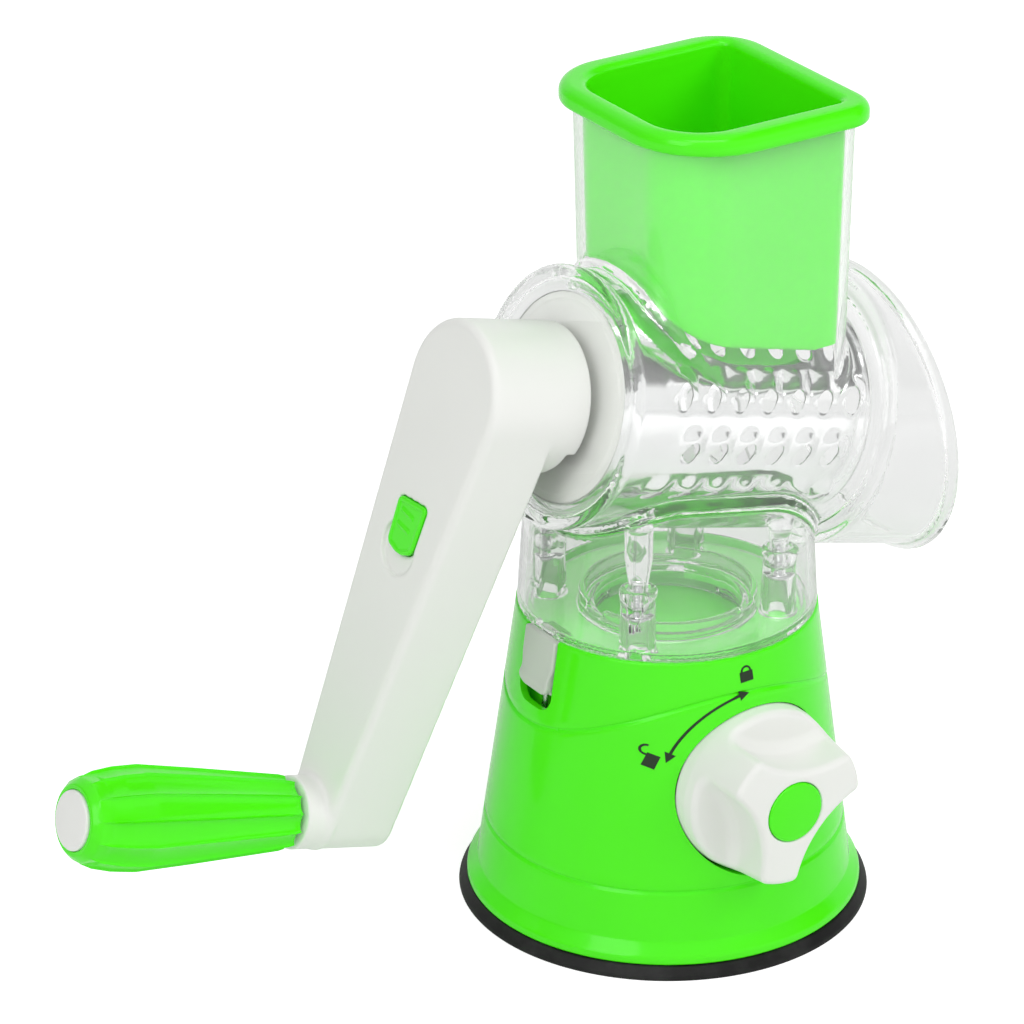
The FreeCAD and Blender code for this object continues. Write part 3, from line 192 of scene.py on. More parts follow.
class Shader(Graph):
    """Graph of a material."""

    def __init__(self, name):
        self.material = bpy.data.materials.new(name)
        self.material.use_nodes = True
        super().__init__(self.material.node_tree, "ShaderNode")
        self.tree.nodes.clear()
        self.place = self.add("TexCoord", output="Object")

    def mapped(self, turn=(0.0, 0.0, 0.0), centre=(0.0, 0.0, 0.0)):
        """Object coordinates, centred on a point in metres and turned."""
        inputs = {"Vector": self.place, "Location": centre, "Rotation": turn}
        return self.add("Mapping", {"vector_type": "TEXTURE"}, inputs)

    def noise(self, scale, detail=2.0, roughness=0.5, where=None):
        inputs = {"Vector": where or self.place, "Scale": scale, "Detail": detail,
                  "Roughness": roughness}
        return self.add("TexNoise", None, inputs, "Fac")

    def span(self, value, low, high, to_low, to_high):
        """Value between low and high carried over to between to_low and to_high."""
        inputs = {"Value": value, "From Min": low, "From Max": high,
                  "To Min": to_low, "To Max": to_high}
        return self.add("MapRange", {"clamp": True}, inputs)

    def mix(self, factor, first, second):
        inputs = {"Factor": factor, 6: first, 7: second}
        return self.add("Mix", {"data_type": "RGBA"}, inputs, 2)

    def bump(self, height, distance, strength=1.0):
        inputs = {"Height": height, "Distance": distance, "Strength": strength}
        return self.add("Bump", None, inputs)

    def principled(self, **inputs):
        named = {key.replace("_", " "): value for key, value in inputs.items()}
        return self.add("BsdfPrincipled", None, named)

    def finish(self, surface):
        self.add("OutputMaterial", None, {"Surface": surface})
        return self.material


def linear(red, green, blue):
    """Linear colour of an 8-bit screen colour."""
    def channel(value):
        part = value / 255.0
        return part / 12.92 if part <= 0.04045 else ((part + 0.055) / 1.055) ** 2.4
    return tuple(channel(value) for value in (red, green, blue))


def opaque(colour):
    """Colour with full alpha."""
    return (*colour, 1.0)


def darker(colour, share):
    """Colour at a share of its brightness."""
    return tuple(value * share for value in colour)


# ---- finishes ---------------------------------------------------------------------------

def moulded_plastic(name, colour, roughness, coat, specular=0.32, grain=0.000003):
    """Injection-moulded plastic: slow flow shades, fine grain and slightly uneven gloss."""
    shader = Shader(name)
    waves = shader.noise(18.0, 1.0)
    grains = shader.noise(1400.0, 3.0, 0.6)
    wear = shader.noise(42.0, 1.5, 0.5)
    tint = shader.span(waves, 0.3, 0.7, 0.0, 1.0)
    body_colour = shader.mix(tint, opaque(darker(colour, 0.975)), opaque(colour))
    rough = shader.span(wear, 0.3, 0.75, roughness, roughness + 0.03)
    return shader.finish(shader.principled(
        Base_Color=body_colour, Roughness=rough, IOR=1.5, Specular_IOR_Level=specular,
        Coat_Weight=coat, Coat_Roughness=0.06, Normal=shader.bump(grains, grain)))


def clear_plastic(name, colour):
    """Clear moulded plastic with faint flow waves and rubbed patches."""
    shader = Shader(name)
    waves = shader.noise(26.0, 1.5)
    haze = shader.noise(140.0, 4.0, 0.6)
    rough = shader.span(haze, 0.4, 0.8, 0.02, 0.06)
    tint = shader.mix(shader.span(waves, 0.3, 0.7, 0.0, 1.0),
                      opaque(darker(colour, 0.985)), opaque(colour))
    glass = shader.principled(Base_Color=tint, Roughness=rough, IOR=1.49,
                              Transmission_Weight=0.955, Normal=shader.bump(waves, 0.00004))
    through = shader.add("BsdfTransparent", None, {"Color": (0.95, 0.955, 0.95, 1.0)})
    path = shader.ports(shader.add("LightPath"))
    # Shadow rays go straight through, and so does a ray after six turns or two mirrorings.
    trapped = shader.most(shader.math("GREATER_THAN", path["Ray Depth"], 5.5),
                          shader.math("GREATER_THAN", path["Glossy Depth"], 1.5))
    straight = shader.most(path["Is Shadow Ray"], trapped)
    return shader.finish(shader.add("MixShader", None, {0: straight, 1: glass, 2: through}))


def rubber(name, colour):
    """Soft rubber with a matt skin and dusty patches."""
    shader = Shader(name)
    dust = shader.noise(60.0, 5.0, 0.6)
    skin = shader.noise(2200.0, 2.0, 0.5)
    base = shader.mix(shader.span(dust, 0.45, 0.75, 0.0, 1.0),
                      opaque(colour), opaque(tuple(0.02 + value for value in colour)))
    return shader.finish(shader.principled(
        Base_Color=base, Roughness=shader.span(dust, 0.3, 0.8, 0.5, 0.66), Specular_IOR_Level=0.25,
        Normal=shader.bump(skin, 0.00003)))


def steel(name, colour, roughness, turn, centre, stretch):
    """Steel with fine scratches that run round the turned axis."""
    shader = Shader(name)
    turned = shader.mapped(turn, centre)
    lines = shader.add("VectorMath", {"operation": "MULTIPLY"}, {0: turned, 1: stretch})
    scratch = shader.noise(1.0, 3.0, 0.6, lines)
    patches = shader.noise(45.0, 3.0, 0.5)
    rough = shader.span(scratch, 0.35, 0.7, roughness, roughness + 0.08)
    tint = shader.mix(shader.span(patches, 0.35, 0.7, 0.0, 1.0),
                      opaque(darker(colour, 0.93)), opaque(colour))
    return shader.finish(shader.principled(
        Base_Color=tint, Metallic=1.0, Roughness=rough,
        Normal=shader.bump(scratch, 0.000012)))


# ---- where things are (millimetres) -----------------------------------------------------

DRUM_TILT = math.radians(14.7)
AXIS_HEIGHT = 173.3
ARM_ANGLE = math.radians(9.7)
ARM_THROW = 153.0
KNOB_HEIGHT = 58.0
MARK_HEIGHT = 59.5
SHELL_TAPER = math.tan(math.radians(7.75))
FOOT_RADIUS, FOOT_LEVEL = 61.2, 11.0
CONE_TOP = 104.0
LATCH_LEVEL = 94.0
TUBE_RADIUS, TUBE_BORE, TUBE_START = 40.5, 38.0, -44.8
HOOD_RADIUS, HOOD_BORE, HOOD_START = 45.7, 43.3, 54.0
MOUTH_END, MOUTH_SLOPE = 82.9, 0.39
CLEAR_WALL = 2.4
COLLAR_END, BAND_RADIUS, BEAD_RADIUS = -41.5, 42.6, 42.9
CHUTE_TOP, RIM_TOP = 273.2, 276.0
SOCKET_TOP, SOCKET_FLOOR, BOSS_FOOT, SCREW_SEAT = 125.6, 119.3, 119.6, 116.5
SCREW_PILOT = 1.5
POSTS = ((-29.0, -26.0), (-29.0, 26.0), (25.0, -26.0), (25.0, 26.0))
BASE_FLOOR, BASE_WALL = 101.0, 2.5
SPIGOT_RADIUS, SPIGOT_GAP = 45.7, 0.4
RING_HOLE = 26.0
LUG_TURNS, NOTCH_TURNS = (0, 120, 240), (60, 180, 300)
KNOB_RADIUS, KNOB_END, KNOB_GAP = 28.0, 72.5, 0.4
SCOOP_TURNS = (78.0, 198.0, 318.0)
RECESS_FLOOR, SHAFT_BORE = 44.6, 4.1
ARM_BACK, ARM_FRONT, ARM_WALL = -59.0, -85.0, 2.6
HUB_RADIUS, TIP_RADIUS = 23.8, 12.0
COVER_THICKNESS, COVER_GAP = 2.2, 0.2
COVER_SCREWS = (76.0, 122.0)
HEX_RADIUS, HEX_GAP = 8.0, 0.1
LOCK_GROOVE = (-72.3, -69.1)
SPINDLE_RADIUS = 4.0
GRIP_START, GRIP_END = 93.4, 171.5


def from_drum(points):
    """Row frame points of (along the drum, sideways, up across the drum)."""
    return np.stack(from_drum_grid(*np.asarray(points, float).T), 1)


def from_drum_grid(along, side, up):
    """The same for arrays of the three coordinates."""
    cos, sin = math.cos(DRUM_TILT), math.sin(DRUM_TILT)
    return along * cos + up * sin, side, AXIS_HEIGHT - along * sin + up * cos


def to_drum(x, y, z):
    """Drum frame coordinates of row frame ones."""
    cos, sin = math.cos(DRUM_TILT), math.sin(DRUM_TILT)
    level = z - AXIS_HEIGHT
    return x * cos - level * sin, y, x * sin + level * cos


def from_crank(points):
    """Row frame points of (along the drum, along the arm, across the arm)."""
    along, down, across = np.asarray(points, float).T
    cos, sin = math.cos(ARM_ANGLE), math.sin(ARM_ANGLE)
    return from_drum(np.stack([along, down * sin + across * cos, across * sin - down * cos], 1))


def from_knob(points):
    """Row frame points of (outwards, to the right, up) on the knob's axis."""
    out, right, up = np.asarray(points, float).T
    return np.stack([right, -out, KNOB_HEIGHT + up], 1)


def turned(degrees):
    """Cosine and sine of an angle."""
    return math.cos(math.radians(degrees)), math.sin(math.radians(degrees))


def cone_radius(z):
    """Outer radius of the base's cone at a height."""
    return FOOT_RADIUS - (z - FOOT_LEVEL) * SHELL_TAPER


def from_latch(points):
    """Row frame points of (into the wall, sideways, up the wall) at the latch."""
    inward, side, up = np.asarray(points, float).T
    angle = math.atan(SHELL_TAPER)
    cos, sin = math.cos(angle), math.sin(angle)
    return np.stack([inward * cos + up * sin - cone_radius(LATCH_LEVEL), side,
                     LATCH_LEVEL - inward * sin + up * cos], 1)


def post_distances(x, y):
    """Distances from the axes of the four posts."""
    return [length(x - post_x, y - post_y) for post_x, post_y in POSTS]


# ---- signed distances -------------------------------------------------------------------

def span(value, low, high):
    """Distance outside the band from low to high."""
    return np.maximum(low - value, value - high)


def length(*parts):
    """Length of a vector given by its parts."""
    return np.sqrt(sum(part * part for part in parts))


def join(*fields):
    """Union of solids."""
    return np.minimum.reduce(np.broadcast_arrays(*fields))


def both(*fields):
    """Intersection of solids."""
    return np.maximum.reduce(np.broadcast_arrays(*fields))


def fillet(first, second, radius):
    """Union with a rounded inner corner."""
    near = length(np.maximum(radius - first, 0), np.maximum(radius - second, 0))
    return np.maximum(radius, np.minimum(first, second)) - near


def blunt(first, second, radius):
    """Intersection with a rounded edge."""
    near = length(np.maximum(radius + first, 0), np.maximum(radius + second, 0))
    return np.minimum(-radius, np.maximum(first, second)) + near


def carve(solid, tool, radius=0.3):
    """Solid less a tool, with its edges rounded."""
    return blunt(solid, -tool, radius)


def rectangle(u, v, low, high, half, low_corner, high_corner):
    """Rectangle from low to high and -half to half whose two ends have their own corners."""
    centre, reach = (low + high) / 2, (high - low) / 2
    corner = np.where(u < centre, low_corner, high_corner)
    across = np.abs(u - centre) - reach + corner
    aside = np.abs(v) - half + corner
    return (np.minimum(np.maximum(across, aside), 0)
            + length(np.maximum(across, 0), np.maximum(aside, 0)) - corner)


def rod(around, radius, along, low, high, edge=0.4):
    """Round bar from low to high with rounded ends' edges."""
    return blunt(around - radius, span(along, low, high), edge)


def taper_outline(down, across, hub, tip):
    """Outline of the arm: a round hub and a round tip joined by tangents."""
    slope = (hub - tip) / ARM_THROW
    rise = math.sqrt(1 - slope * slope)
    aside = np.abs(across)
    side = rise * down - slope * aside
    beside = rise * aside + slope * down
    straight = beside - hub
    at_hub = length(down, aside) - hub
    at_tip = length(down - ARM_THROW, aside) - tip
    return np.where(side < 0, at_hub, np.where(side > rise * ARM_THROW, at_tip, straight))


def part(array, axis, start):
    """All layers along an axis but the last, or but the first where start is one."""
    key = [slice(None)] * 3
    key[axis] = slice(start, start + array.shape[axis] - 1)
    return array[tuple(key)]


def net(field, low, high, step):
    """Points and quads of the closed surface on which a signed distance is zero."""
    axes = [np.arange(a - step, b + 2 * step, step) for a, b in zip(low, high)]
    value = field(*np.meshgrid(*axes, indexing="ij"))
    total = np.zeros((*(size - 1 for size in value.shape), 3))
    hits = np.zeros(total.shape[:3])
    for axis in range(3):
        one, two = [other for other in range(3) if other != axis]
        a, b = part(value, axis, 0), part(value, axis, 1)
        crossing = (a < 0) != (b < 0)
        share = np.where(crossing, a / np.where(crossing, a - b, 1), 0)
        for i in (0, 1):
            for j in (0, 1):
                here = part(part(crossing, one, i), two, j)
                hits += here
                total[..., axis] += part(part(share, one, i), two, j)
                total[..., one] += here * i
                total[..., two] += here * j
    active = hits > 0
    number = np.full(active.shape, -1)
    number[active] = np.arange(active.sum())
    points = np.argwhere(active) + total[active] / hits[active][:, None]
    points = points * step + np.array([axis[0] for axis in axes])
    quads = []
    for axis in range(3):
        one, two = (axis + 1) % 3, (axis + 2) % 3
        a, b = part(value, axis, 0), part(value, axis, 1)
        edge = np.argwhere((a < 0) != (b < 0))
        edge = edge[(edge[:, one] > 0) & (edge[:, two] > 0)]
        edge = edge[(edge[:, one] < active.shape[one]) & (edge[:, two] < active.shape[two])]
        rises = a[tuple(edge.T)] < 0
        back_one, back_two = np.eye(3, dtype=int)[one], np.eye(3, dtype=int)[two]
        ring = [number[tuple((edge - move).T)]
                for move in (back_one + back_two, back_two, 0 * back_one, back_one)]
        ring = np.stack(ring, 1)
        quads.append(np.where(rises[:, None], ring, ring[:, ::-1]))
    return settle(field, points, step), np.concatenate(quads)


def settle(field, points, step):
    """Move the points onto the surface along the field's slope."""
    tiny = 0.02
    for _ in range(3):
        slope = np.stack([(field(*(points + shift).T) - field(*(points - shift).T)) / (2 * tiny)
                          for shift in np.eye(3) * tiny], 1)
        size = np.maximum((slope * slope).sum(1), 0.25)
        move = -(field(*points.T) / size)[:, None] * slope
        far = np.maximum(length(*move.T) / (0.4 * step), 1)
        points = points + move / far[:, None]
    return points


# ---- meshes -----------------------------------------------------------------------------

def make(name, points, faces, finish, sharp=40.0):
    """Mesh object from points in millimetres in the row frame."""
    mesh = bpy.data.meshes.new(name)
    mesh.from_pydata((np.asarray(points, float) * MM).tolist(), [],
                     [list(map(int, face)) for face in faces])
    mesh.materials.append(finishes()[finish])
    mesh.shade_smooth()
    mesh.set_sharp_from_angle(angle=math.radians(sharp))
    made = bpy.data.objects.new(name, mesh)
    bpy.context.scene.collection.objects.link(made)
    return made


def dress(made, body, slot, *nodes):
    """Let the piece ride on its body and put it in the place of its nodes; the slot is not used.
    """
    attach(made, body)
    if nodes:
        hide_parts(*nodes)
    return made


def lathe(profile, count, closed=True):
    """Points (along, right, up) and faces of (radius, along) pairs turned about the first axis.

    The profile runs so that the outside lies to the right of its direction. A radius of
    zero makes a pole.
    """
    points, rings = [], []
    angles = np.arange(count) * 2 * math.pi / count
    for radius, along in profile:
        if radius <= 0:
            rings.append([len(points)] * count)
            points.append((along, 0.0, 0.0))
        else:
            rings.append(range(len(points), len(points) + count))
            points += [(along, radius * math.cos(a), radius * math.sin(a)) for a in angles]
    faces = []
    pairs = list(zip(rings, rings[1:] + rings[:1])) if closed else list(zip(rings, rings[1:]))
    for low, high in pairs:
        for number in range(count):
            after = (number + 1) % count
            face = (low[number], low[after], high[after], high[number])
            kept = tuple(dict.fromkeys(face))
            if len(kept) > 2:
                faces.append(kept)
    return np.array(points), faces


def bands(rings, count, closed=False, inward=False):
    """Quads between rings of count points, which are numbered ring by ring."""
    faces = []
    for ring in range(rings if closed else rings - 1):
        low, high = ring * count, (ring + 1) % rings * count
        for k in range(count):
            after = (k + 1) % count
            face = (low + k, high + k, high + after, low + after)
            faces.append(face[:1] + face[:0:-1] if inward else face)
    return faces


def rounded(corners, radius, steps=4, closed=True):
    """Profile whose corners are rounded; a corner may name its own radius."""
    made = []
    total = len(corners)
    for number, corner in enumerate(corners):
        here = np.array(corner[:2], float)
        size = corner[2] if len(corner) > 2 else radius
        if not closed and number in (0, total - 1) or size <= 0 or here[0] <= 0:
            made.append(tuple(here))
            continue
        before = np.array(corners[number - 1][:2], float) - here
        after = np.array(corners[(number + 1) % total][:2], float) - here
        one, two = before / np.linalg.norm(before), after / np.linalg.norm(after)
        half = math.acos(max(-1.0, min(1.0, float(one @ two)))) / 2
        if half > math.radians(88):
            made.append(tuple(here))
            continue
        room = min(np.linalg.norm(before), np.linalg.norm(after))
        back = min(size / math.tan(half), 0.45 * room)
        size = back * math.tan(half)
        centre = here + (one + two) / np.linalg.norm(one + two) * size / math.sin(half)
        first, last = here + one * back - centre, here + two * back - centre
        turn = math.atan2(first[0] * last[1] - first[1] * last[0], first @ last)
        for step in range(steps + 1):
            angle = turn * step / steps
            cos, sin = math.cos(angle), math.sin(angle)
            made.append(tuple(centre + (cos * first[0] - sin * first[1],
                                        sin * first[0] + cos * first[1])))
    return made


def upright(points):
    """Turned points stood on the row frame's Z axis."""
    along, right, up = np.asarray(points, float).T
    return np.stack([right, up, along], 1)


def sculpt(name, field, low, high, step, finish, place=np.asarray):
    """Piece whose surface is where a field is zero, put in place by a frame's function."""
    points, faces = net(field, low, high, step)
    return make(name, place(points), faces, finish, 180.0)


def turn_piece(name, profile, count, finish, place, sharp=50.0):
    """Piece turned from an open profile that starts and ends on its axis."""
    points, faces = lathe(profile, count, False)
    return make(name, place(points), faces, finish, sharp)


def cut_away(target, *tools):
    """Take closed tool objects away from the target's mesh."""
    for tool in tools:
        change = target.modifiers.new("cut", "BOOLEAN")
        change.operation = "DIFFERENCE"
        change.solver = "EXACT"
        change.object = tool
        plain(target)
        bpy.data.objects.remove(tool)
    return target


def plain(target):
    """Turn the evaluated object into a plain mesh and drop its modifiers."""
    graph = bpy.context.evaluated_depsgraph_get()
    graph.update()
    mesh = bpy.data.meshes.new_from_object(target.evaluated_get(graph))
    mesh.name = target.name
    target.modifiers.clear()
    target.data = mesh
    return target


def absorb(target, *others):
    """Put the meshes of other objects into the target's."""
    grown = bmesh.new()
    grown.from_mesh(target.data)
    for other in others:
        grown.from_mesh(other.data)
        bpy.data.objects.remove(other)
    grown.to_mesh(target.data)
    grown.free()
    return target


def sizes():
    """The add-on's settings of sizes, in metres."""
    return bpy.context.scene.shredder_sizes


def finishes():
    """All finishes by name, made once."""
    made = finishes.made
    if not made:
        colours = bpy.context.scene.shredder_colours
        tilt = (0.0, DRUM_TILT, 0.0)
        axis = (0.0, 0.0, AXIS_HEIGHT * MM)
        made["green"] = moulded_plastic("green moulded plastic", tuple(colours.green),
                                        0.17, 0.2, 0.22)
        made["white"] = moulded_plastic("white moulded plastic", tuple(colours.white), 0.3, 0.12)
        made["grey"] = moulded_plastic("grey moulded plastic", tuple(colours.grey), 0.38, 0.1)
        made["clear"] = clear_plastic("clear moulded plastic", tuple(colours.clear))
        made["ink"] = rubber("black printed marks", tuple(colours.ink))
        made["rubber"] = rubber("black suction rubber", tuple(colours.rubber))
        made["drum steel"] = steel("rolled drum steel", tuple(colours.drum_steel), 0.06, tilt,
                                   axis, (4000.0, 60.0, 60.0))
        made["screw steel"] = steel("plated screw steel", tuple(colours.screw_steel), 0.25,
                                    (0.0, 0.0, 0.0), (0.0, 0.0, 0.0), (900.0, 900.0, 900.0))
    return made


finishes.made = {}


SLOT_FINISH = {
    "green_plastic": "green",
    "white_plastic": "white",
    "clear_plastic": "clear",
    "black_rubber": "rubber",
    "grey_plastic": "grey",
    "polished_steel": "drum steel",
    "steel": "screw steel",
}


def repaint_frame():
    """Give every carried-over node the finish of its record slot."""
    made = finishes()
    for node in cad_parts.values():
        for holder in node.material_slots:
            key = holder.material.name.split(".")[0]
            if key in SLOT_FINISH:
                holder.material = made[SLOT_FINISH[key]]


# ---- stage ------------------------------------------------------------------------------

# The dark card in the mirrored room: how dark it is by the angle up from ahead and by the
# place to the right, and how the room itself darkens to the left.
CARD_LEVEL = ((0.0, 0.0), (0.28, 0.0), (0.34, 0.84), (0.56, 1.0), (0.74, 1.0), (0.84, 0.0))
CARD_SIDE = ((0.28, 0.0), (0.4, 1.0), (1.0, 1.0))
LEFT_STOPS = ((0.0, 1.0), (0.55, 1.0), (0.85, 0.42), (1.0, 0.3))
CARD_DEPTH, FAINT_CARD = 0.93, 0.2
VIEW_AZIMUTH, VIEW_ELEVATION = math.radians(-32.97), math.radians(25.51)
VIEW_AIM, VIEW_DISTANCE, LENS = (-0.0594, 0.0, 0.1492), 1.6, 180.14


def lamp(name, place, target, width, height, power):
    """Soft light turned to a target."""
    data = bpy.data.lights.new(name, "AREA")
    data.shape = "RECTANGLE"
    data.size, data.size_y = width, height
    data.energy = power
    made = bpy.data.objects.new(name, data)
    made.location = place
    made.rotation_mode = "QUATERNION"
    made.rotation_quaternion = (Vector(target) - Vector(place)).to_track_quat("-Z", "Y")
    bpy.context.scene.collection.objects.link(made)
    return made


def make_camera():
    """Camera and the direction from the object to it."""
    scene = bpy.context.scene
    flat = math.cos(VIEW_ELEVATION)
    back = Vector((math.sin(VIEW_AZIMUTH) * flat, -math.cos(VIEW_AZIMUTH) * flat,
                   math.sin(VIEW_ELEVATION)))
    data = bpy.data.cameras.new("camera")
    data.sensor_width = 36.0
    data.lens = LENS
    data.clip_start, data.clip_end = 0.05, 50.0
    camera = bpy.data.objects.new("camera", data)
    camera.location = Vector(VIEW_AIM) + back * VIEW_DISTANCE
    camera.rotation_mode = "QUATERNION"
    camera.rotation_quaternion = (-back).to_track_quat("-Z", "Y")
    scene.collection.objects.link(camera)
    scene.camera = camera
    return back


def make_surroundings(back):
    """White room that polished pieces mirror with a dark card in it, and soft light."""
    world = bpy.data.worlds.new("surroundings")
    bpy.context.scene.world = world
    world.use_nodes = True
    graph = Graph(world.node_tree, "ShaderNode")
    graph.tree.nodes.clear()
    way = graph.add("TexCoord", output="Generated")
    front = Vector((back.x, back.y, 0.0)).normalized()
    ahead = graph.dot(way, tuple(front))
    rise = graph.dot(way, (0.0, 0.0, 1.0))
    beside = graph.dot(way, (-front.y, front.x, 0.0))
    turn = graph.math("DIVIDE", graph.math("ARCTAN2", rise, ahead), math.pi, clamp=True)
    level = graph.add("ValToRGB", {"stops": CARD_LEVEL}, {"Fac": turn})
    side = graph.add("ValToRGB", {"stops": CARD_SIDE}, {"Fac": beside})
    left = graph.add("ValToRGB", {"stops": LEFT_STOPS}, {"Fac": beside * -1.0})
    room = (1.0 - level * side * CARD_DEPTH) * left
    white = (1.0, 1.0, 1.0, 1.0)
    path = graph.ports(graph.add("LightPath"))
    # The card shows in what is outside the clear walls, and in steel that is seen through both
    # faces of one wall, on the way in and out. Other mirrored rays see it faintly.
    walls, mirrors = path["Transmission Depth"], path["Glossy Depth"]
    outside = graph.math("LESS_THAN", walls, 0.5)
    behind = graph.math("COMPARE", walls, 4.0, 0.5) * graph.math("COMPARE", mirrors, 1.0, 0.5)
    kind = graph.most(graph.most(outside, behind), FAINT_CARD)
    mirrored = graph.math("GREATER_THAN", mirrors, 0.5) * kind
    shown = graph.add("Mix", {"data_type": "RGBA"}, {"Factor": mirrored, 6: white, 7: room}, 2)
    soft = graph.add("Background", None, {"Color": white, "Strength": 0.5})
    plain = graph.add("Background", None, {"Color": shown, "Strength": 1.0})
    mixed = graph.add("MixShader", None, {0: graph.seen(), 1: soft, 2: plain})
    graph.add("OutputWorld", None, {"Surface": mixed})


def make_floor():
    """Pale floor, lifted to white for the camera."""
    mesh = bpy.data.meshes.new("floor")
    reach = 3.0
    mesh.from_pydata([(-reach, -reach, 0), (reach, -reach, 0), (reach, reach, 0),
                      (-reach, reach, 0)], [], [(0, 1, 2, 3)])
    floor = bpy.data.objects.new("floor", mesh)
    bpy.context.scene.collection.objects.link(floor)
    shader = Shader("pale floor")
    grain = shader.noise(30.0, 2.0)
    pale = shader.mix(grain, (0.93, 0.93, 0.93, 1.0), (0.96, 0.96, 0.96, 1.0))
    board = shader.add("BsdfDiffuse", None, {"Color": pale})
    reached = shader.vector("LENGTH", shader.place, output="Value")
    outer = (shader.span(reached, 0.42, 0.5, 0.13, 0.27)
             + shader.span(reached, 0.6, 1.3, 0.0, 0.2))
    camera_ray = shader.add("LightPath", output="Is Camera Ray")
    seen_lift = outer + (0.6 - outer) * camera_ray
    lift = shader.add("Emission", None, {"Color": seen_lift, "Strength": 1.0})
    lit = shader.add("AddShader", None, {0: board, 1: lift})
    surface = shader.add("MixShader", None, {0: shader.seen(), 1: board, 2: lit})
    mesh.materials.append(shader.finish(surface))


def make_stage():
    """Camera, surroundings, floor and soft lights."""
    bpy.context.scene.view_settings.view_transform = "Standard"
    make_surroundings(make_camera())
    make_floor()
    centre = (-0.05, 0.0, 0.13)
    key = lamp("key softbox", (0.75, -0.95, 1.0), centre, 0.7, 0.7, 6.5)
    key.visible_glossy = False
    key.visible_transmission = False
    lamp("fill softbox", (-1.1, -0.5, 0.8), centre, 0.6, 0.9, 3.7)
    lamp("top softbox", (-0.35, -0.6, 1.35), centre, 0.8, 0.5, 3.5)


# ---- housing ----------------------------------------------------------------------------

def chute_outline(x, y, z, inset):
    """Distance to the chute's tapered outline, drawn in by an inset."""
    rise = (z - AXIS_HEIGHT) / (RIM_TOP - AXIS_HEIGHT)
    return rectangle(x, y, -20.6 - 2.8 * rise + inset, 45.8 + 0.9 * rise - inset,
                     35.8 + 1.1 * rise - inset, 22.0 - inset, np.maximum(9.0 - inset, 1.5))


def skirt_outline(x, y, z, inset):
    """Distance to the pedestal's outline, round below and oblong above."""
    rise = (z - CONE_TOP) / (AXIS_HEIGHT - CONE_TOP)
    corner = 48.2 - 30.2 * rise - inset
    wide = 48.3 - 6.3 * rise - inset
    return rectangle(x, y, -wide, wide, 48.3 - 18.8 * rise - inset, corner, corner)


def housing_field(x, y, z):
    """Housing: tube, hood, chute, ribs along their meetings, rear boss and screw posts."""
    along, side, up = to_drum(x, y, z)
    around = length(side, up)
    mouth = (along + MOUTH_SLOPE * up - MOUTH_END) * math.cos(math.atan(MOUTH_SLOPE))
    tube = rod(around, TUBE_RADIUS, along, TUBE_START, HOOD_START + 3.0, 0.5)
    tube = fillet(tube, rod(around, TUBE_RADIUS + 1.0, along, TUBE_START, COLLAR_END, 0.5), 0.6)
    hood = blunt(around - HOOD_RADIUS, both(HOOD_START - along, mouth), 1.2)
    solid = fillet(tube, hood, 1.6)
    chute = blunt(chute_outline(x, y, z, 0.0), span(z, AXIS_HEIGHT, CHUTE_TOP), 0.9)
    solid = fillet(solid, chute, 1.4)
    inside = TUBE_BORE + 0.6
    upper = both(span(around, inside, BEAD_RADIUS), -up)
    bead = blunt(np.abs(chute_outline(x, y, z, 0.3)) - 1.9, upper, 0.7)
    lower = both(span(around, inside, BAND_RADIUS), up)
    band = blunt(np.abs(skirt_outline(x, y, z, 1.0)) - 1.6, lower, 0.6)
    solid = fillet(fillet(solid, bead, 0.8), band, 0.8)
    solid = fillet(solid, rod(around, 13.1, along, -47.2, -42.0, 0.5), 0.8)
    swell = np.clip((z - 127.0) * 0.14, 0, 1.3)
    for near in post_distances(x, y):
        boss = blunt(near - 3.1 - swell, span(z, BOSS_FOOT, 150.0), 0.3)
        solid = fillet(solid, boss, 0.8)
    bore = rod(around, TUBE_BORE, along, -42.6, HOOD_START + 4.0, 0.6)
    hood_bore = blunt(around - HOOD_BORE, 56.6 - along, 1.5)
    well = both(chute_outline(x, y, z, CLEAR_WALL), AXIS_HEIGHT - z)
    shell = carve(solid, join(bore, hood_bore, well), 0.6)
    lip = length(around - 45.4, mouth + 2.1) - 2.15
    shell = fillet(shell, lip, 1.0)
    dish = blunt(around - 36.6, span(along, -60.0, -44.5), 0.3)
    shell = carve(shell, both(dish, 13.9 - around), 0.4)
    shell = carve(shell, both(around - 10.1, span(along, -60.0, -30.0)), 0.3)
    for near in post_distances(x, y):
        shell = carve(shell, both(near - SCREW_PILOT, span(z, 110.0, 129.0)), 0.2)
    return shell


def make_housing():
    """Clear tube with its chute and hood, in the place of the housing."""
    def field(along, side, up):
        return housing_field(*from_drum_grid(along, side, up))
    made = sculpt("housing_shell", field, (-48.6, -49.0, -62.0), (103.0, 49.0, 110.0), 1.2,
                  "clear", from_drum)
    return dress(made, "base", "clear_plastic", "housing")


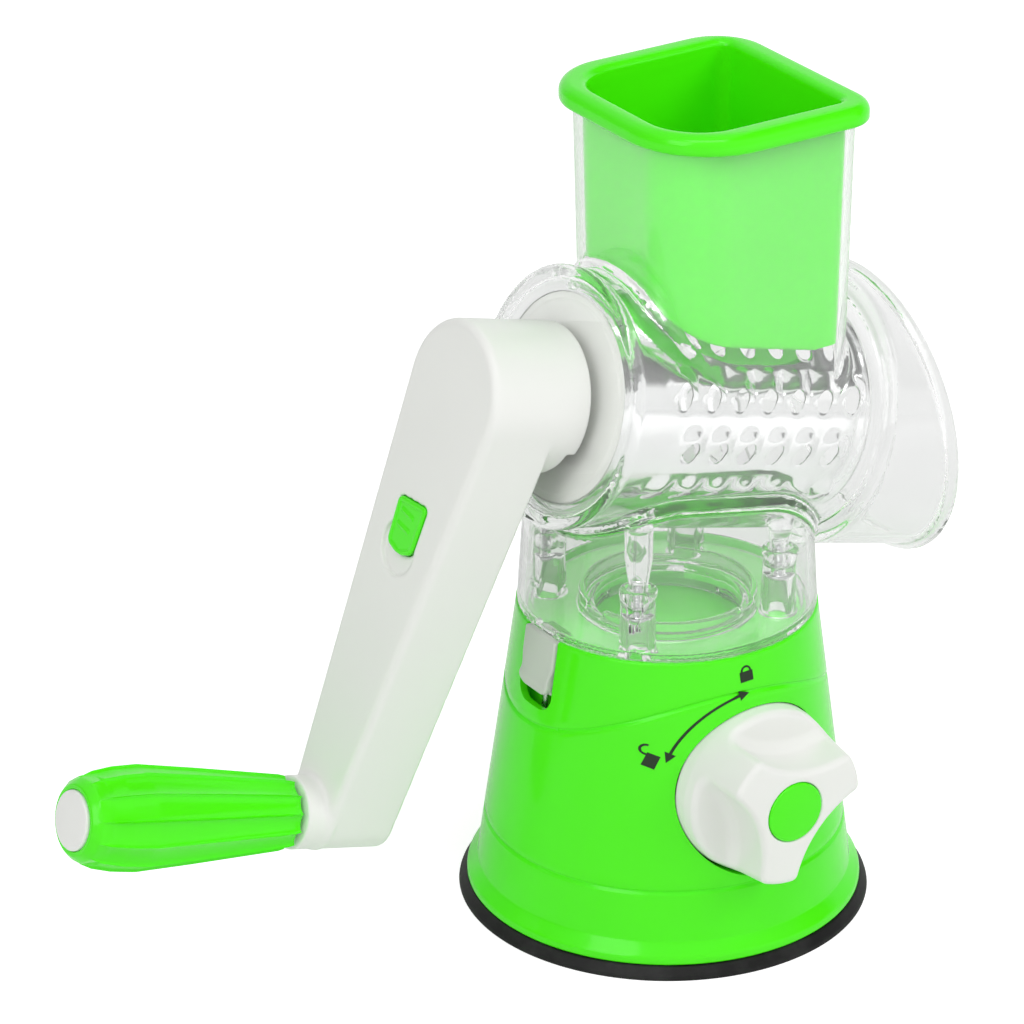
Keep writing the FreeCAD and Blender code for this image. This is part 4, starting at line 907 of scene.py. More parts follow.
def pedestal_field(x, y, z):
    """Pedestal: skirt, bayonet ring with three lugs, post sockets and the latch's notch."""
    along, side, up = to_drum(x, y, z)
    around = length(side, up)
    near_axis = length(x, y)
    skirt = blunt(skirt_outline(x, y, z, 0.0), span(z, CONE_TOP + 0.1, AXIS_HEIGHT - 1.0), 0.6)
    skirt = join(skirt, rod(near_axis, SPIGOT_RADIUS, z, BASE_FLOOR + 0.2, 105.6, 0.3))
    hollow = join(blunt(skirt_outline(x, y, z, CLEAR_WALL), 105.6 - z, 0.8),
                  rod(near_axis, 43.4, z, 103.5, 110.0, 0.6))
    clearing = join(both(around - BAND_RADIUS - 0.15, along - HOOD_START),
                    both(around - HOOD_RADIUS - 0.05, 51.8 - along),
                    both(around - 43.7, along - COLLAR_END))
    skirt = carve(carve(skirt, hollow, 0.5), clearing, 0.9)
    ring = rod(near_axis, 28.5, z, 101.3, 108.4, 0.5)
    notch = np.full(np.broadcast(x, y, z).shape, 1e3)
    for turn in NOTCH_TURNS:
        cos, sin = turned(turn)
        notch = join(notch, both(span(y * cos - x * sin, -4.5, 4.5), -(x * cos + y * sin)))
    ring = carve(ring, both(notch, 105.9 - z), 0.4)
    solid = join(fillet(skirt, ring, 0.9), rod(near_axis, RING_HOLE - 0.3, z, 96.2, 102.0, 0.3))
    for turn in LUG_TURNS:
        cos, sin = turned(turn)
        out, aside = x * cos + y * sin, y * cos - x * sin
        lug = blunt(blunt(span(out, 23.6, 28.6), span(aside, -7.0, 7.0), 0.5),
                    span(z, 96.2, 98.1), 0.3)
        solid = join(solid, lug)
    for near in post_distances(x, y):
        column = blunt(near - 5.9 + 0.022 * (z - 101.0), span(z, 102.0, SOCKET_TOP), 0.5)
        column = fillet(column, rod(near, 6.0, z, 123.0, SOCKET_TOP, 0.7), 0.5)
        solid = fillet(solid, column, 1.0)
    shell = carve(solid, both(near_axis - 23.5, span(z, 90.0, 120.0)), 0.4)
    step = both(near_axis - 26.5, 103.6 - z)
    shell = carve(shell, both(step, span(z, 90.0, 130.0)), 0.4)
    for near in post_distances(x, y):
        bores = join(both(near - 3.7, SOCKET_FLOOR - z), near - SCREW_PILOT,
                     both(near - 3.3, z - SCREW_SEAT))
        shell = carve(shell, both(bores, span(z, 95.0, 130.0)), 0.2)
    wall = cone_radius(LATCH_LEVEL)
    tooth = both(span(x, -wall, -40.0), span(y, -5.4, 5.4), span(z, 98.0, 105.2))
    return carve(shell, tooth, 0.3)


def make_pedestal():
    """Clear pedestal between the base and the housing."""
    made = sculpt("pedestal_skirt", pedestal_field, (-49.2, -49.2, 95.0), (49.2, 49.2, 152.0),
                  0.82, "clear")
    return dress(made, "base", "clear_plastic", "pedestal")


def rim_outline(x, y):
    """Distance to the rim's outline, whose four corners differ."""
    front = rectangle(x, y, -25.8, 50.6, 40.9, 29.0, 12.0)
    rear = rectangle(x, y, -25.8, 50.6, 40.9, 22.0, 18.0)
    return np.where(y < 0, front, rear)


def pusher_field(x, y, z):
    """Pusher: open box with a curved floor and a wide rim."""
    _, side, up = to_drum(x, y, z)
    sweep = length(up + 40.8, side)
    inset = CLEAR_WALL + 0.5
    box = blunt(blunt(chute_outline(x, y, z, inset), 77.0 - sweep, 0.8), z - 275.0, 0.5)
    rim = rim_outline(x, y)
    lip = blunt(blunt(rim, z - RIM_TOP, 3.6), RIM_TOP - 6.5 - z, 1.2)
    groove = both(rim + 1.9, z - (RIM_TOP - 2.9), -chute_outline(x, y, z, inset))
    lip = carve(lip, groove, 0.4)
    cavity = both(chute_outline(x, y, z, inset + 1.9), 79.5 - sweep)
    return carve(fillet(box, lip, 0.6), cavity, 2.4)


def make_pusher():
    """Green food pusher in the chute."""
    made = sculpt("food_pusher", pusher_field, (-28.0, -42.0, 196.0), (52.0, 42.0, 277.0),
                  0.95, "green")
    return dress(made, "pusher", "green_plastic", "pusher")


# ---- crank ------------------------------------------------------------------------------

BUTTON_CORNERS = ((39.4, 6.9), (36.1, -8.1), (52.9, -8.0), (56.4, -1.8), (55.3, 5.6))


def polygon(u, v, corners, radius):
    """Distance to a convex outline whose corners are rounded."""
    edges = []
    for (u_one, v_one), (u_two, v_two) in zip(corners, corners[1:] + corners[:1]):
        size = math.dist((u_one, v_one), (u_two, v_two))
        edges.append(((u - u_one) * (v_one - v_two) + (v - v_one) * (u_two - u_one)) / size)
    solid = -edges[0]
    for edge in edges[1:]:
        solid = blunt(solid, -edge, radius)
    return solid


def arm_field(along, down, across):
    """Arm: hollow taper with a collar, hexagon socket, button window and finger scoop."""
    at_hub, at_tip = length(down, across), length(down - ARM_THROW, across)
    hub, tip = HUB_RADIUS - ARM_WALL, TIP_RADIUS - ARM_WALL
    outline = taper_outline(down, across, HUB_RADIUS, TIP_RADIUS)
    solid = blunt(blunt(outline, ARM_FRONT - along, 3.0), along - ARM_BACK, 0.5)
    cavity = blunt(taper_outline(down, across, hub, tip), ARM_FRONT + ARM_WALL - along, 1.2)
    shell = carve(solid, cavity, 0.4)
    collar = blunt(at_hub - HUB_RADIUS, span(along, -62.0, -48.2), 0.8)
    collar = carve(collar, both(at_hub - hub, span(along, -70.0, -50.0)), 0.4)
    notch = both(8.0 - down, across, -51.4 - along)
    shell = join(shell, carve(collar, notch, 0.4))
    shell = join(shell, rod(at_hub, 13.5, along, -83.0, -49.0, 0.5))
    neck = blunt(at_tip - 11.9, span(along, -92.0, -80.0), 0.5)
    shell = fillet(shell, both(neck, along + 82.6), 1.6)
    shell = join(shell, rod(at_tip, 6.5, along, -83.0, -64.0, 0.4))
    shelf = both(span(down, 69.0, 71.0), span(across, -6.0, 6.0), span(along, -83.0, -68.4))
    shell = join(shell, shelf)
    for spot in COVER_SCREWS:
        pillar = length(down - spot, across)
        shell = join(shell, rod(pillar, 3.4, along, -83.0, -61.4, 0.3))
        shell = carve(shell, both(pillar - SCREW_PILOT, span(along, -78.4, -58.0)), 0.2)
    angle = np.arctan2(across, down) - ARM_ANGLE
    sector = math.pi / 3
    apart = np.abs((angle + sector / 2) % sector - sector / 2)
    reach = (HEX_RADIUS + HEX_GAP) * math.cos(sector / 2)
    socket = at_hub * np.cos(sector / 2 - apart) - reach
    shell = carve(shell, both(socket, span(along, -76.3, -40.0)), 0.2)
    plate = both(span(down, -16.0, 16.0), span(across, -9.7, 9.7), span(along, *LOCK_GROOVE))
    shell = carve(shell, plate, 0.2)
    shell = carve(shell, both(at_tip - SPINDLE_RADIUS - 0.05, span(along, -95.0, -50.0)), 0.2)
    window = polygon(down, across, BUTTON_CORNERS, 2.0) - 0.32
    shell = carve(shell, both(window, span(along, -90.0, -80.0)), 0.3)
    scoop = both(length(down - 54.6, across) - 8.9, along + 83.8 - 0.06 * across)
    return carve(shell, both(scoop, 44.0 - down), 0.45)


def make_arm():
    """White crank arm."""
    made = sculpt("arm_shell", arm_field, (-93.0, -25.0, -25.0), (-47.0, 166.0, 25.0), 0.75,
                  "white", from_crank)
    return dress(made, "crank", "white_plastic", "crank_arm")


def cover_field(along, down, across):
    """Flat plate that closes the arm's back."""
    inset = ARM_WALL + COVER_GAP
    plate = blunt(taper_outline(down, across, HUB_RADIUS - inset, TIP_RADIUS - inset),
                  span(along, ARM_BACK - COVER_THICKNESS, ARM_BACK), 0.4)
    plate = carve(plate, length(down, across) - 21.25, 0.3)
    for spot in COVER_SCREWS:
        plate = carve(plate, length(down - spot, across) - SCREW_PILOT, 0.2)
    return plate


def make_arm_cover():
    """White plate on the arm's back."""
    made = sculpt("arm_back_cover", cover_field, (-62.0, -2.0, -22.0), (-58.0, 164.0, 22.0),
                  0.45, "white", from_crank)
    return dress(made, "crank", "white_plastic", "arm_cover")


def button_field(along, down, across):
    """Release button: bordered head with two ribs, flange and stem."""
    outline = polygon(down, across, BUTTON_CORNERS, 2.0)
    head = blunt(outline, span(along, -85.7, -81.8), 0.6)
    head = carve(head, both(outline + 1.7, along + 85.35), 0.3)
    thick = polygon(down + 3.6, across, BUTTON_CORNERS, 2.0)
    head = carve(head, both(-thick, -84.5 - along), 0.2)
    for spot in (42.6, 47.4):
        rib = blunt(length(down - spot, along + 85.1) - 0.75, span(across, -3.4, 3.6), 0.4)
        head = fillet(head, rib, 0.3)
    flange = blunt(rectangle(down, across, 34.0, 57.0, 8.6, 1.5, 1.5),
                   span(along, -82.1, -80.5), 0.3)
    stem = both(span(down, 42.0, 52.0), span(across, -4.0, 4.0), span(along, -81.0, -72.0))
    return join(head, flange, stem)


def make_button():
    """Green release button in the arm's window."""
    made = sculpt("release_slider", button_field, (-87.0, 33.0, -9.5), (-71.5, 58.0, 9.5), 0.3,
                  "green", from_crank)
    return dress(made, "button", "green_plastic", "release_button")


def flute_tree():
    """Tree that presses flutes into a turned grip, with thin ridges left between them."""
    graph, wires = new_tree(
        "grip flutes", ("Centre", "Vector", (0.0, 0.0, 0.0)), ("Count", "Float", 12.0),
        ("Depth", "Float", 0.001), ("Start", "Float", 0.0), ("End", "Float", 0.08))
    place = graph.add("InputPosition")
    from_centre = graph.vector("SUBTRACT", place, wires["Centre"])
    axis, down, across = (from_drum([(1, 0, 0)]) - from_drum([(0, 0, 0)]),
                          from_crank([(0, 1, 0)]) - from_crank([(0, 0, 0)]),
                          from_crank([(0, 0, 1)]) - from_crank([(0, 0, 0)]))
    axis, down, across = (tuple(float(v) for v in vector[0]) for vector in (axis, down, across))
    along = -graph.dot(from_centre, axis)
    u = graph.dot(from_centre, down)
    v = graph.dot(from_centre, across)
    angle = graph.math("ARCTAN2", v, u)
    wave = graph.math("ABSOLUTE", graph.math("SINE", angle * wires["Count"] * 0.5))
    valley = graph.math("POWER", wave, 0.4)
    rise = (along - wires["Start"]) / 0.007
    fall = (wires["End"] - along) / 0.006
    rise = graph.math("SMOOTH_MIN", rise, 1.0, 0.3, clamp=True)
    fall = graph.math("SMOOTH_MIN", fall, 1.0, 0.3, clamp=True)
    size = graph.math("SQRT", u * u + v * v)
    outer = graph.math("GREATER_THAN", size, 0.0107)
    press = valley * rise * fall * outer * wires["Depth"] * -1.0
    radial = graph.vector("ADD", graph.vector_scale(down, u / size),
                          graph.vector_scale(across, v / size))
    offset = graph.vector_scale(radial, press)
    moved = graph.add("SetPosition", None, {"Geometry": wires["Geometry"], "Offset": offset})
    return close_tree(graph, wires, moved)


def grow(target, tree, **inputs):
    """Run a geometry tree on an object and keep the result as its plain mesh."""
    change = target.modifiers.new("tree", "NODES")
    change.node_group = tree
    for item in tree.interface.items_tree:
        key = item.name.lower().replace(" ", "_")
        if item.in_out == "INPUT" and key in inputs:
            change[item.identifier] = inputs[key]
    return plain(target)


def from_grip(points):
    """Row frame points of (outwards along the grip, along the arm, across it)."""
    return from_crank(np.asarray(points, float) * (-1, 1, 1) + (0, ARM_THROW, 0))


def make_grip():
    """Green grip, turned and then fluted."""
    bore = SPINDLE_RADIUS + 0.08
    outer = [(11.6, GRIP_START, 0.6), (12.2, 95.8, 3.0), (15.2, 128.0, 40.0), (16.9, 149.0, 14.0),
             (16.4, 158.0, 8.0), (15.2, 165.0, 4.0), (13.6, 169.0, 3.0), (11.2, GRIP_END, 1.0),
             (9.8, GRIP_END, 0.2), (9.8, 170.6, 0), (7.3, 170.6, 0), (7.3, 167.7, 0),
             (bore, 167.7, 0), (bore, GRIP_START, 0.2)]
    profile = rounded(outer, 1.0, 5)
    dense = []
    for first, last in zip(profile, profile[1:] + profile[:1]):
        dense.append(first)
        gap = math.dist(first, last)
        if first[0] > 10.5 and last[0] > 10.5 and gap > 1.2:
            steps = int(gap / 0.8)
            dense += [tuple(np.array(first) + (np.array(last) - first) * k / steps)
                      for k in range(1, steps)]
    points, faces = lathe(dense, 288)
    made = make("grip_handle", from_grip(points), faces, "green", 50.0)
    centre = tuple(float(v) * MM for v in from_grip([(0, 0, 0)])[0])
    grow(made, flute_tree(), centre=centre, count=float(sizes().flute_count),
         depth=sizes().flute_depth, start=0.086, end=0.17, material=finishes()["green"])
    made.data.set_sharp_from_angle(angle=math.radians(50.0))
    return dress(made, "grip", "green_plastic", "grip")


def make_end_cap():
    """White disc on the grip's end."""
    profile = rounded([(0, 170.65), (9.55, 170.65, 0.1), (9.55, 172.6, 0.9), (0, 172.9)],
                      0.5, 6, False)
    made = turn_piece("grip_cap", profile, 96, "white", from_grip)
    return dress(made, "grip", "white_plastic", "grip_end_cap")


# ---- base -------------------------------------------------------------------------------

LOW_GROOVE = 27.6


def groove_level(azimuth):
    """Height of the arched groove round the base."""
    return 91.9 - 9.5 * (1 - math.cos(2 * (azimuth + math.radians(97))))


def base_columns(angles):
    """Closed profiles (radius, level) of the base, one for each angle round it."""
    groove = sizes().groove_depth / MM
    press = [(rise, share * groove) for rise, share in
             ((-1.0, 0.0), (-0.75, 0.2), (-0.45, 0.75), (0.0, 1.0), (0.45, 0.75), (0.75, 0.2),
              (1.0, 0.0))]
    foot = rounded([(62.6, 4.3), (64.8, 4.3, 0.8), (64.5, 7.0, 2.5), (62.3, 9.6, 2.0),
                    (FOOT_RADIUS, FOOT_LEVEL, 1.5), (60.9, 13.2)], 1.0, 5, False)
    lip, under = SPIGOT_RADIUS + SPIGOT_GAP, BASE_FLOOR - BASE_WALL
    inside = rounded([(cone_radius(BASE_FLOOR) + 0.1, BASE_FLOOR + 1.0),
                      (cone_radius(CONE_TOP), CONE_TOP, 0.7), (lip, CONE_TOP, 0.5),
                      (lip, BASE_FLOOR, 0.2), (RING_HOLE, BASE_FLOOR, 0.3),
                      (RING_HOLE, under, 0.3), (cone_radius(under) - BASE_WALL, under, 1.0),
                      (FOOT_RADIUS - BASE_WALL, FOOT_LEVEL, 1.0), (62.3, 8.0, 1.0),
                      (62.3, 4.3, 0.2), (62.6, 4.3)], 0.5, 3, False)
    start = LOW_GROOVE + 1.0
    columns = []
    for angle in angles:
        column = list(foot)
        top = groove_level(angle)
        for level in (17.0, 22.0, 26.0):
            column.append((cone_radius(level), level))
        column += [(cone_radius(LOW_GROOVE + rise) - deep, LOW_GROOVE + rise)
                   for rise, deep in press]
        for share in (0.04, 0.2, 0.36, 0.52, 0.68, 0.84, 0.97):
            level = start + (top - 1.0 - start) * share
            column.append((cone_radius(level), level))
        column += [(cone_radius(top + rise) - deep, top + rise) for rise, deep in press]
        for share in (0.1, 0.4, 0.7, 0.95):
            level = top + 1.0 + (BASE_FLOOR - top - 1.0) * share
            column.append((cone_radius(level), level))
        column += [(cone_radius(inside[0][1]), inside[0][1])] + list(inside[1:-1])
        columns.append(column)
    return columns


def base_tools():
    """What is cut out of the base: the knob's bore, the latch's slot and the lugs' notches."""
    reach = KNOB_RADIUS + KNOB_GAP
    bore = [(0, RECESS_FLOOR), (reach, RECESS_FLOOR), (reach, 70.0), (0, 70.0)]
    tools = [turn_piece("bore_tool", bore, 192, "green", from_knob, 40.0)]
    slot, slot_faces = net(
        lambda inward, side, up: both(rectangle(up, side, -14.9, 40.0, 8.9, 5.5, 1.0),
                                      span(inward, -4.0, 4.2)),
        (-4.5, -9.5, -15.5), (4.7, 9.5, 14.0), 0.4)
    tools.append(make("slot_tool", from_latch(slot), slot_faces, "green"))
    for turn in NOTCH_TURNS:
        notch, notch_faces = block_mesh((20.0, -8.0, 95.0), (28.9, 8.0, 106.0))
        cos, sin = turned(turn)
        notch = np.array(notch) @ np.array([[cos, sin, 0], [-sin, cos, 0], [0, 0, 1]])
        tools.append(make("notch_tool", notch, notch_faces, "green"))
    return tools


def make_base_shell():
    """Green cone with its cuts, recess, latch pocket and bayonet web."""
    count = 480
    angles = [2 * math.pi * k / count for k in range(count)]
    columns = base_columns(angles)
    tall = len(columns[0])
    points = [(radius * math.cos(angle), radius * math.sin(angle), level)
              for angle, column in zip(angles, columns) for radius, level in column]
    faces = []
    for k in range(count):
        here, after = k * tall, ((k + 1) % count) * tall
        for j in range(tall):
            up = (j + 1) % tall
            faces.append((here + j, after + j, after + up, here + up))
    made = make("base_cone", points, faces, "green", 35.0)
    cut_away(made, *base_tools())
    well = rounded([(0, 94.1), (34.5, 94.1, 0.5), (34.5, 98.7, 0.2), (33.0, 98.7, 0.2),
                    (33.0, 94.9, 0.5), (0, 94.9)], 0.4, 3, False)
    absorb(made, make_recess(), make_guide(),
           turn_piece("bayonet_well", well, 128, "green", upright, 40.0))
    made.data.shade_smooth()
    made.data.set_sharp_from_angle(angle=math.radians(32.0))
    return dress(made, "base", "green_plastic", "base_shell")


def block_mesh(low, high):
    """Corners and faces of a block."""
    corners = [(x, y, z) for z in (low[2], high[2]) for y in (low[1], high[1])
               for x in (low[0], high[0])]
    faces = [(0, 2, 3, 1), (4, 5, 7, 6), (0, 1, 5, 4), (2, 6, 7, 3), (0, 4, 6, 2), (1, 3, 7, 5)]
    return corners, faces


def make_recess():
    """Cup behind the knob whose rim ends inside the cone's wall."""
    count = 128
    points = []
    inner, outer = KNOB_RADIUS + KNOB_GAP, KNOB_RADIUS + KNOB_GAP + BASE_WALL
    back = RECESS_FLOOR - BASE_WALL
    rings = ((SHAFT_BORE, back), (outer, back), (outer, None), (inner, None),
             (inner, RECESS_FLOOR), (SHAFT_BORE, RECESS_FLOOR))
    for radius, level in rings:
        for k in range(count):
            angle = 2 * math.pi * k / count
            right, up = radius * math.cos(angle), radius * math.sin(angle)
            wall = cone_radius(KNOB_HEIGHT + up) - 1.2
            out = level if level is not None else math.sqrt(wall * wall - right * right)
            points.append((out, right, up))
    faces = bands(len(rings), count, closed=True, inward=True)
    return make("recess_cup", from_knob(points), faces, "green")


def make_guide():
    """Pocket behind the latch that closes the slot."""
    points, faces = net(
        lambda inward, side, up: carve(
            both(span(inward, 2.0, 8.6), span(side, -13.0, 13.0), span(up, -24.0, 4.5)),
            both(span(inward, 0.0, 7.2), span(side, -11.4, 11.4), span(up, -22.4, 20.0)), 0.2),
        (1.0, -14.0, -25.0), (9.5, 14.0, 5.5), 0.6)
    return make("latch_pocket", from_latch(points), faces, "green")


def make_cup():
    """Black suction ring, no higher than the frame's cup."""
    profile = rounded([(0, 0.2), (44.0, 0.6), (58.0, 0.3), (67.5, 0.0, 1.0), (67.0, 1.6, 1.0),
                       (65.0, 4.2, 1.2), (54.8, 4.2, 0.4), (50.0, 1.8, 0.5), (3.0, 1.8, 0.3),
                       (3.0, 8.0, 0.3), (0, 8.0)], 0.5, 5, False)
    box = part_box("suction_cup")
    top = box[1].z / MM
    profile = [(radius, min(level, top)) for radius, level in profile]
    made = turn_piece("suction_ring", profile, 256, "rubber", upright)
    return dress(made, "base", "black_rubber", "suction_cup")


def knob_field(out, right, up):
    """Knob: tapered drum with three finger scoops and its stepped bore."""
    reach = sizes().knob_scoop / MM
    around = length(right, up)
    side = KNOB_RADIUS - np.clip(out - 51.0, 0, 40) * (2.7 / 21.5)
    body = blunt(around - side, span(out, RECESS_FLOOR + 0.4, KNOB_END), 1.8)
    for turn in SCOOP_TURNS:
        cos, sin = turned(turn)
        towards = right * cos + up * sin
        aside = up * cos - right * sin
        scoop = length(towards - 50.0, aside) - reach
        body = carve_scoop(body, scoop, out)
    body = carve(body, rod(around, 10.3, out, 70.5, 90.0, 0.1), 0.4)
    body = carve(body, rod(around, 3.2, out, 64.0, 90.0, 0.1), 0.2)
    body = carve(body, rod(around, SCREW_PILOT, out, 40.0, 90.0, 0.1), 0.1)
    return carve(body, rod(around, 4.02, out, 30.0, 62.0, 0.1), 0.1)


def carve_scoop(body, scoop, out):
    """Take a finger scoop out of the knob; its floor runs out in a wide curve."""
    floor = 56.0 - out
    near = length(np.maximum(4.0 + scoop, 0), np.maximum(4.0 + floor, 0))
    tool = np.minimum(-4.0, np.maximum(scoop, floor)) + near
    return blunt(body, -tool, 2.2)


def make_knob():
    """White knob in the base's recess."""
    made = sculpt("lock_knob", knob_field, (44.5, -28.6, -28.6), (73.0, 28.6, 28.6), 0.45,
                  "white", from_knob)
    return dress(made, "knob", "white_plastic", "knob")


def make_knob_cap():
    """Green disc that covers the knob's screw."""
    profile = rounded([(0, 70.6), (10.05, 70.6, 0.1), (10.05, 72.9, 0.7), (0, 73.3)],
                      0.4, 6, False)
    made = turn_piece("knob_badge", profile, 96, "green", from_knob)
    return dress(made, "knob", "green_plastic", "knob_cap")


def latch_field(inward, side, up):
    """Latch: waisted tab with a bulge, neck, runner and tooth."""
    waist = 8.5 - 0.9 * np.exp(-((up + 4.0) / 2.8) ** 2)
    tab = rectangle(up, side, -9.5, 10.0, waist, 4.5, 0.8)
    bulge = 0.9 * np.exp(-((up + 6.5) / 3.0) ** 2)
    tab = blunt(tab, span(inward, -0.3 - bulge, 2.4), 0.8)
    neck = both(span(inward, 1.5, 4.4), span(side, -7.5, 7.5), span(up, -9.0, 3.2))
    runner = both(span(inward, 4.2, 6.8), span(side, -11.0, 11.0), span(up, -9.5, 3.2))
    tooth = both(span(inward, 4.2, 6.8), span(side, -5.0, 5.0), span(up, 0.0, 10.5))
    return join(fillet(tab, neck, 0.4), runner, tooth)


def make_latch():
    """Grey latch in the base's slot."""
    made = sculpt("pedestal_latch", latch_field, (-2.0, -12.0, -10.5), (7.5, 12.0, 11.5), 0.35,
                  "grey", from_latch)
    return dress(made, "latch", "grey_plastic", "latch")


# ---- drum -------------------------------------------------------------------------------

DRUM_RADIUS, DRUM_START, DRUM_END = 33.8, -41.9, 53.0
ROWS, OPENINGS, HOLE_PITCH = 12, 7, 11.1
FIRST_OPENING, FIRST_ANGLE = -20.8, math.radians(22.0)
ROW_WIDTH = math.radians(360 / ROWS) * DRUM_RADIUS
SIDE_STEPS, ROW_STEPS = 8, 12
OPENING_UP, OPENING_DOWN, OPENING_SHIFT = 4.1, 4.5, -0.6
SCOOP_REACH, LIP_SINK, LIP_REACH = 5.0, 0.35, 1.6


def make_tile(scoop_height, opening_width):
    """Flat tile of the sheet with one opening and the raised scoop above it."""
    half_u, half_v = HOLE_PITCH / 2, ROW_WIDTH / 2
    edge = [(-half_u + HOLE_PITCH * k / SIDE_STEPS, -half_v) for k in range(SIDE_STEPS)]
    edge += [(half_u, -half_v + ROW_WIDTH * k / ROW_STEPS) for k in range(ROW_STEPS)]
    edge += [(half_u - HOLE_PITCH * k / SIDE_STEPS, half_v) for k in range(SIDE_STEPS)]
    edge += [(-half_u, half_v - ROW_WIDTH * k / ROW_STEPS) for k in range(ROW_STEPS)]
    points = []
    shares = (0.0, 0.08, 0.2, 0.36, 0.56, 0.78, 1.0)  # rings from the opening to the edge
    for share in shares:
        for u, v in edge:
            angle = math.atan2(v / 1.3, u)
            hole_u = opening_width / 2 * math.cos(angle) * (1.0 - 0.12 * math.sin(angle))
            hole_v = ((OPENING_DOWN if v < 0 else OPENING_UP) * math.sin(angle)
                      + OPENING_SHIFT)
            here_u = hole_u + (u - hole_u) * share
            here_v = hole_v + (v - hole_v) * share
            away = math.hypot(here_u - hole_u, here_v - hole_v)
            upward = max(0.0, math.sin(angle) + 0.25) / 1.25
            fall = max(0.0, 1 - away / SCOOP_REACH)
            raised = scoop_height * upward ** 0.8 * fall * fall * (3 - 2 * fall)
            dip = max(0.0, 1 - away / LIP_REACH) ** 2
            sunk = -LIP_SINK * max(0.0, -math.sin(angle)) * dip
            points.append((here_u, here_v, (raised if share < 1 else 0.0) + sunk))
    return make("drum_tile", points, bands(len(shares), len(edge)), "drum steel")


def set_along(graph, unit, count, x, y):
    """Instances of a unit on count points at (x, y)."""
    line = graph.add("MeshLine", None, {"Count": count})
    placed = graph.add("SetPosition", None, {"Geometry": line, "Position": graph.point(x, y)})
    return graph.add("InstanceOnPoints", None, {"Points": placed, "Instance": unit})


def drum_tree():
    """Tree that lays out the openings on a flat sheet and rolls the sheet into a drum."""
    graph, wires = new_tree(
        "perforated drum", ("Tile", "Object", None), ("Rows", "Int", 12), ("Openings", "Int", 7),
        ("Pitch", "Float", 0.01), ("Row Width", "Float", 0.018), ("First", "Float", 0.0),
        ("Low End", "Float", 0.0), ("High End", "Float", 0.1), ("Radius", "Float", 0.034),
        ("First Angle", "Float", 0.0))
    tile = graph.add("ObjectInfo", {"transform_space": "ORIGINAL"}, {"Object": wires["Tile"]},
                     "Geometry")
    rows, openings, pitch = wires["Rows"], wires["Openings"], wires["Pitch"]
    width, first = wires["Row Width"], wires["First"]
    parts = []
    for number in range(2):
        count = openings - float(number)
        start = first + pitch * (0.5 * number)
        index = graph.add("InputIndex")
        column = graph.math("MODULO", index, count)
        row = graph.math("FLOOR", index / count) * 2.0 + float(number)
        parts.append(set_along(graph, tile, count * rows * 0.5, start + column * pitch,
                               row * width))
    half = pitch * 0.5
    high = first + pitch * (openings - 1.0) + half
    strips = ((wires["Low End"], first - half, 9), (high, wires["High End"], 5))
    for low_end, high_end, steps in strips:
        sheet = graph.add("MeshGrid", None, {
            "Size X": high_end - low_end, "Size Y": width * rows,
            "Vertices X": steps, "Vertices Y": rows * float(ROW_STEPS) + 1.0})
        shift = graph.point((low_end + high_end) * 0.5, width * (rows - 1.0) * 0.5)
        parts.append(graph.add("Transform", None, {"Geometry": sheet, "Translation": shift}))
    for low_end in (first - half, high - half):
        patch = graph.add("MeshGrid", None, {
            "Size X": half, "Size Y": width, "Vertices X": SIDE_STEPS // 2 + 1,
            "Vertices Y": ROW_STEPS + 1})
        row = graph.add("InputIndex") * 2.0 + 1.0
        parts.append(set_along(graph, patch, rows * 0.5, low_end + half * 0.5, row * width))
    sheet = graph.add("JoinGeometry", None, {"Geometry": parts})
    sheet = graph.add("RealizeInstances", None, {"Geometry": sheet})
    place = graph.add("ShaderNodeSeparateXYZ", None, {"Vector": graph.add("InputPosition")})
    x, y, z = (Wire(graph, item) for item in place.socket.node.outputs)
    angle = y / wires["Radius"] + wires["First Angle"]
    out = wires["Radius"] + z
    rolled = graph.point(x, out * graph.math("COSINE", angle) * -1.0,
                         out * graph.math("SINE", angle))
    rolled = graph.add("SetPosition", None, {"Geometry": sheet, "Position": rolled})
    welded = graph.add("MergeByDistance", None, {"Geometry": rolled, "Distance": 0.00002})
    smooth = graph.add("SetShadeSmooth", None, {"Geometry": welded, "Shade Smooth": True})
    return close_tree(graph, wires, smooth)


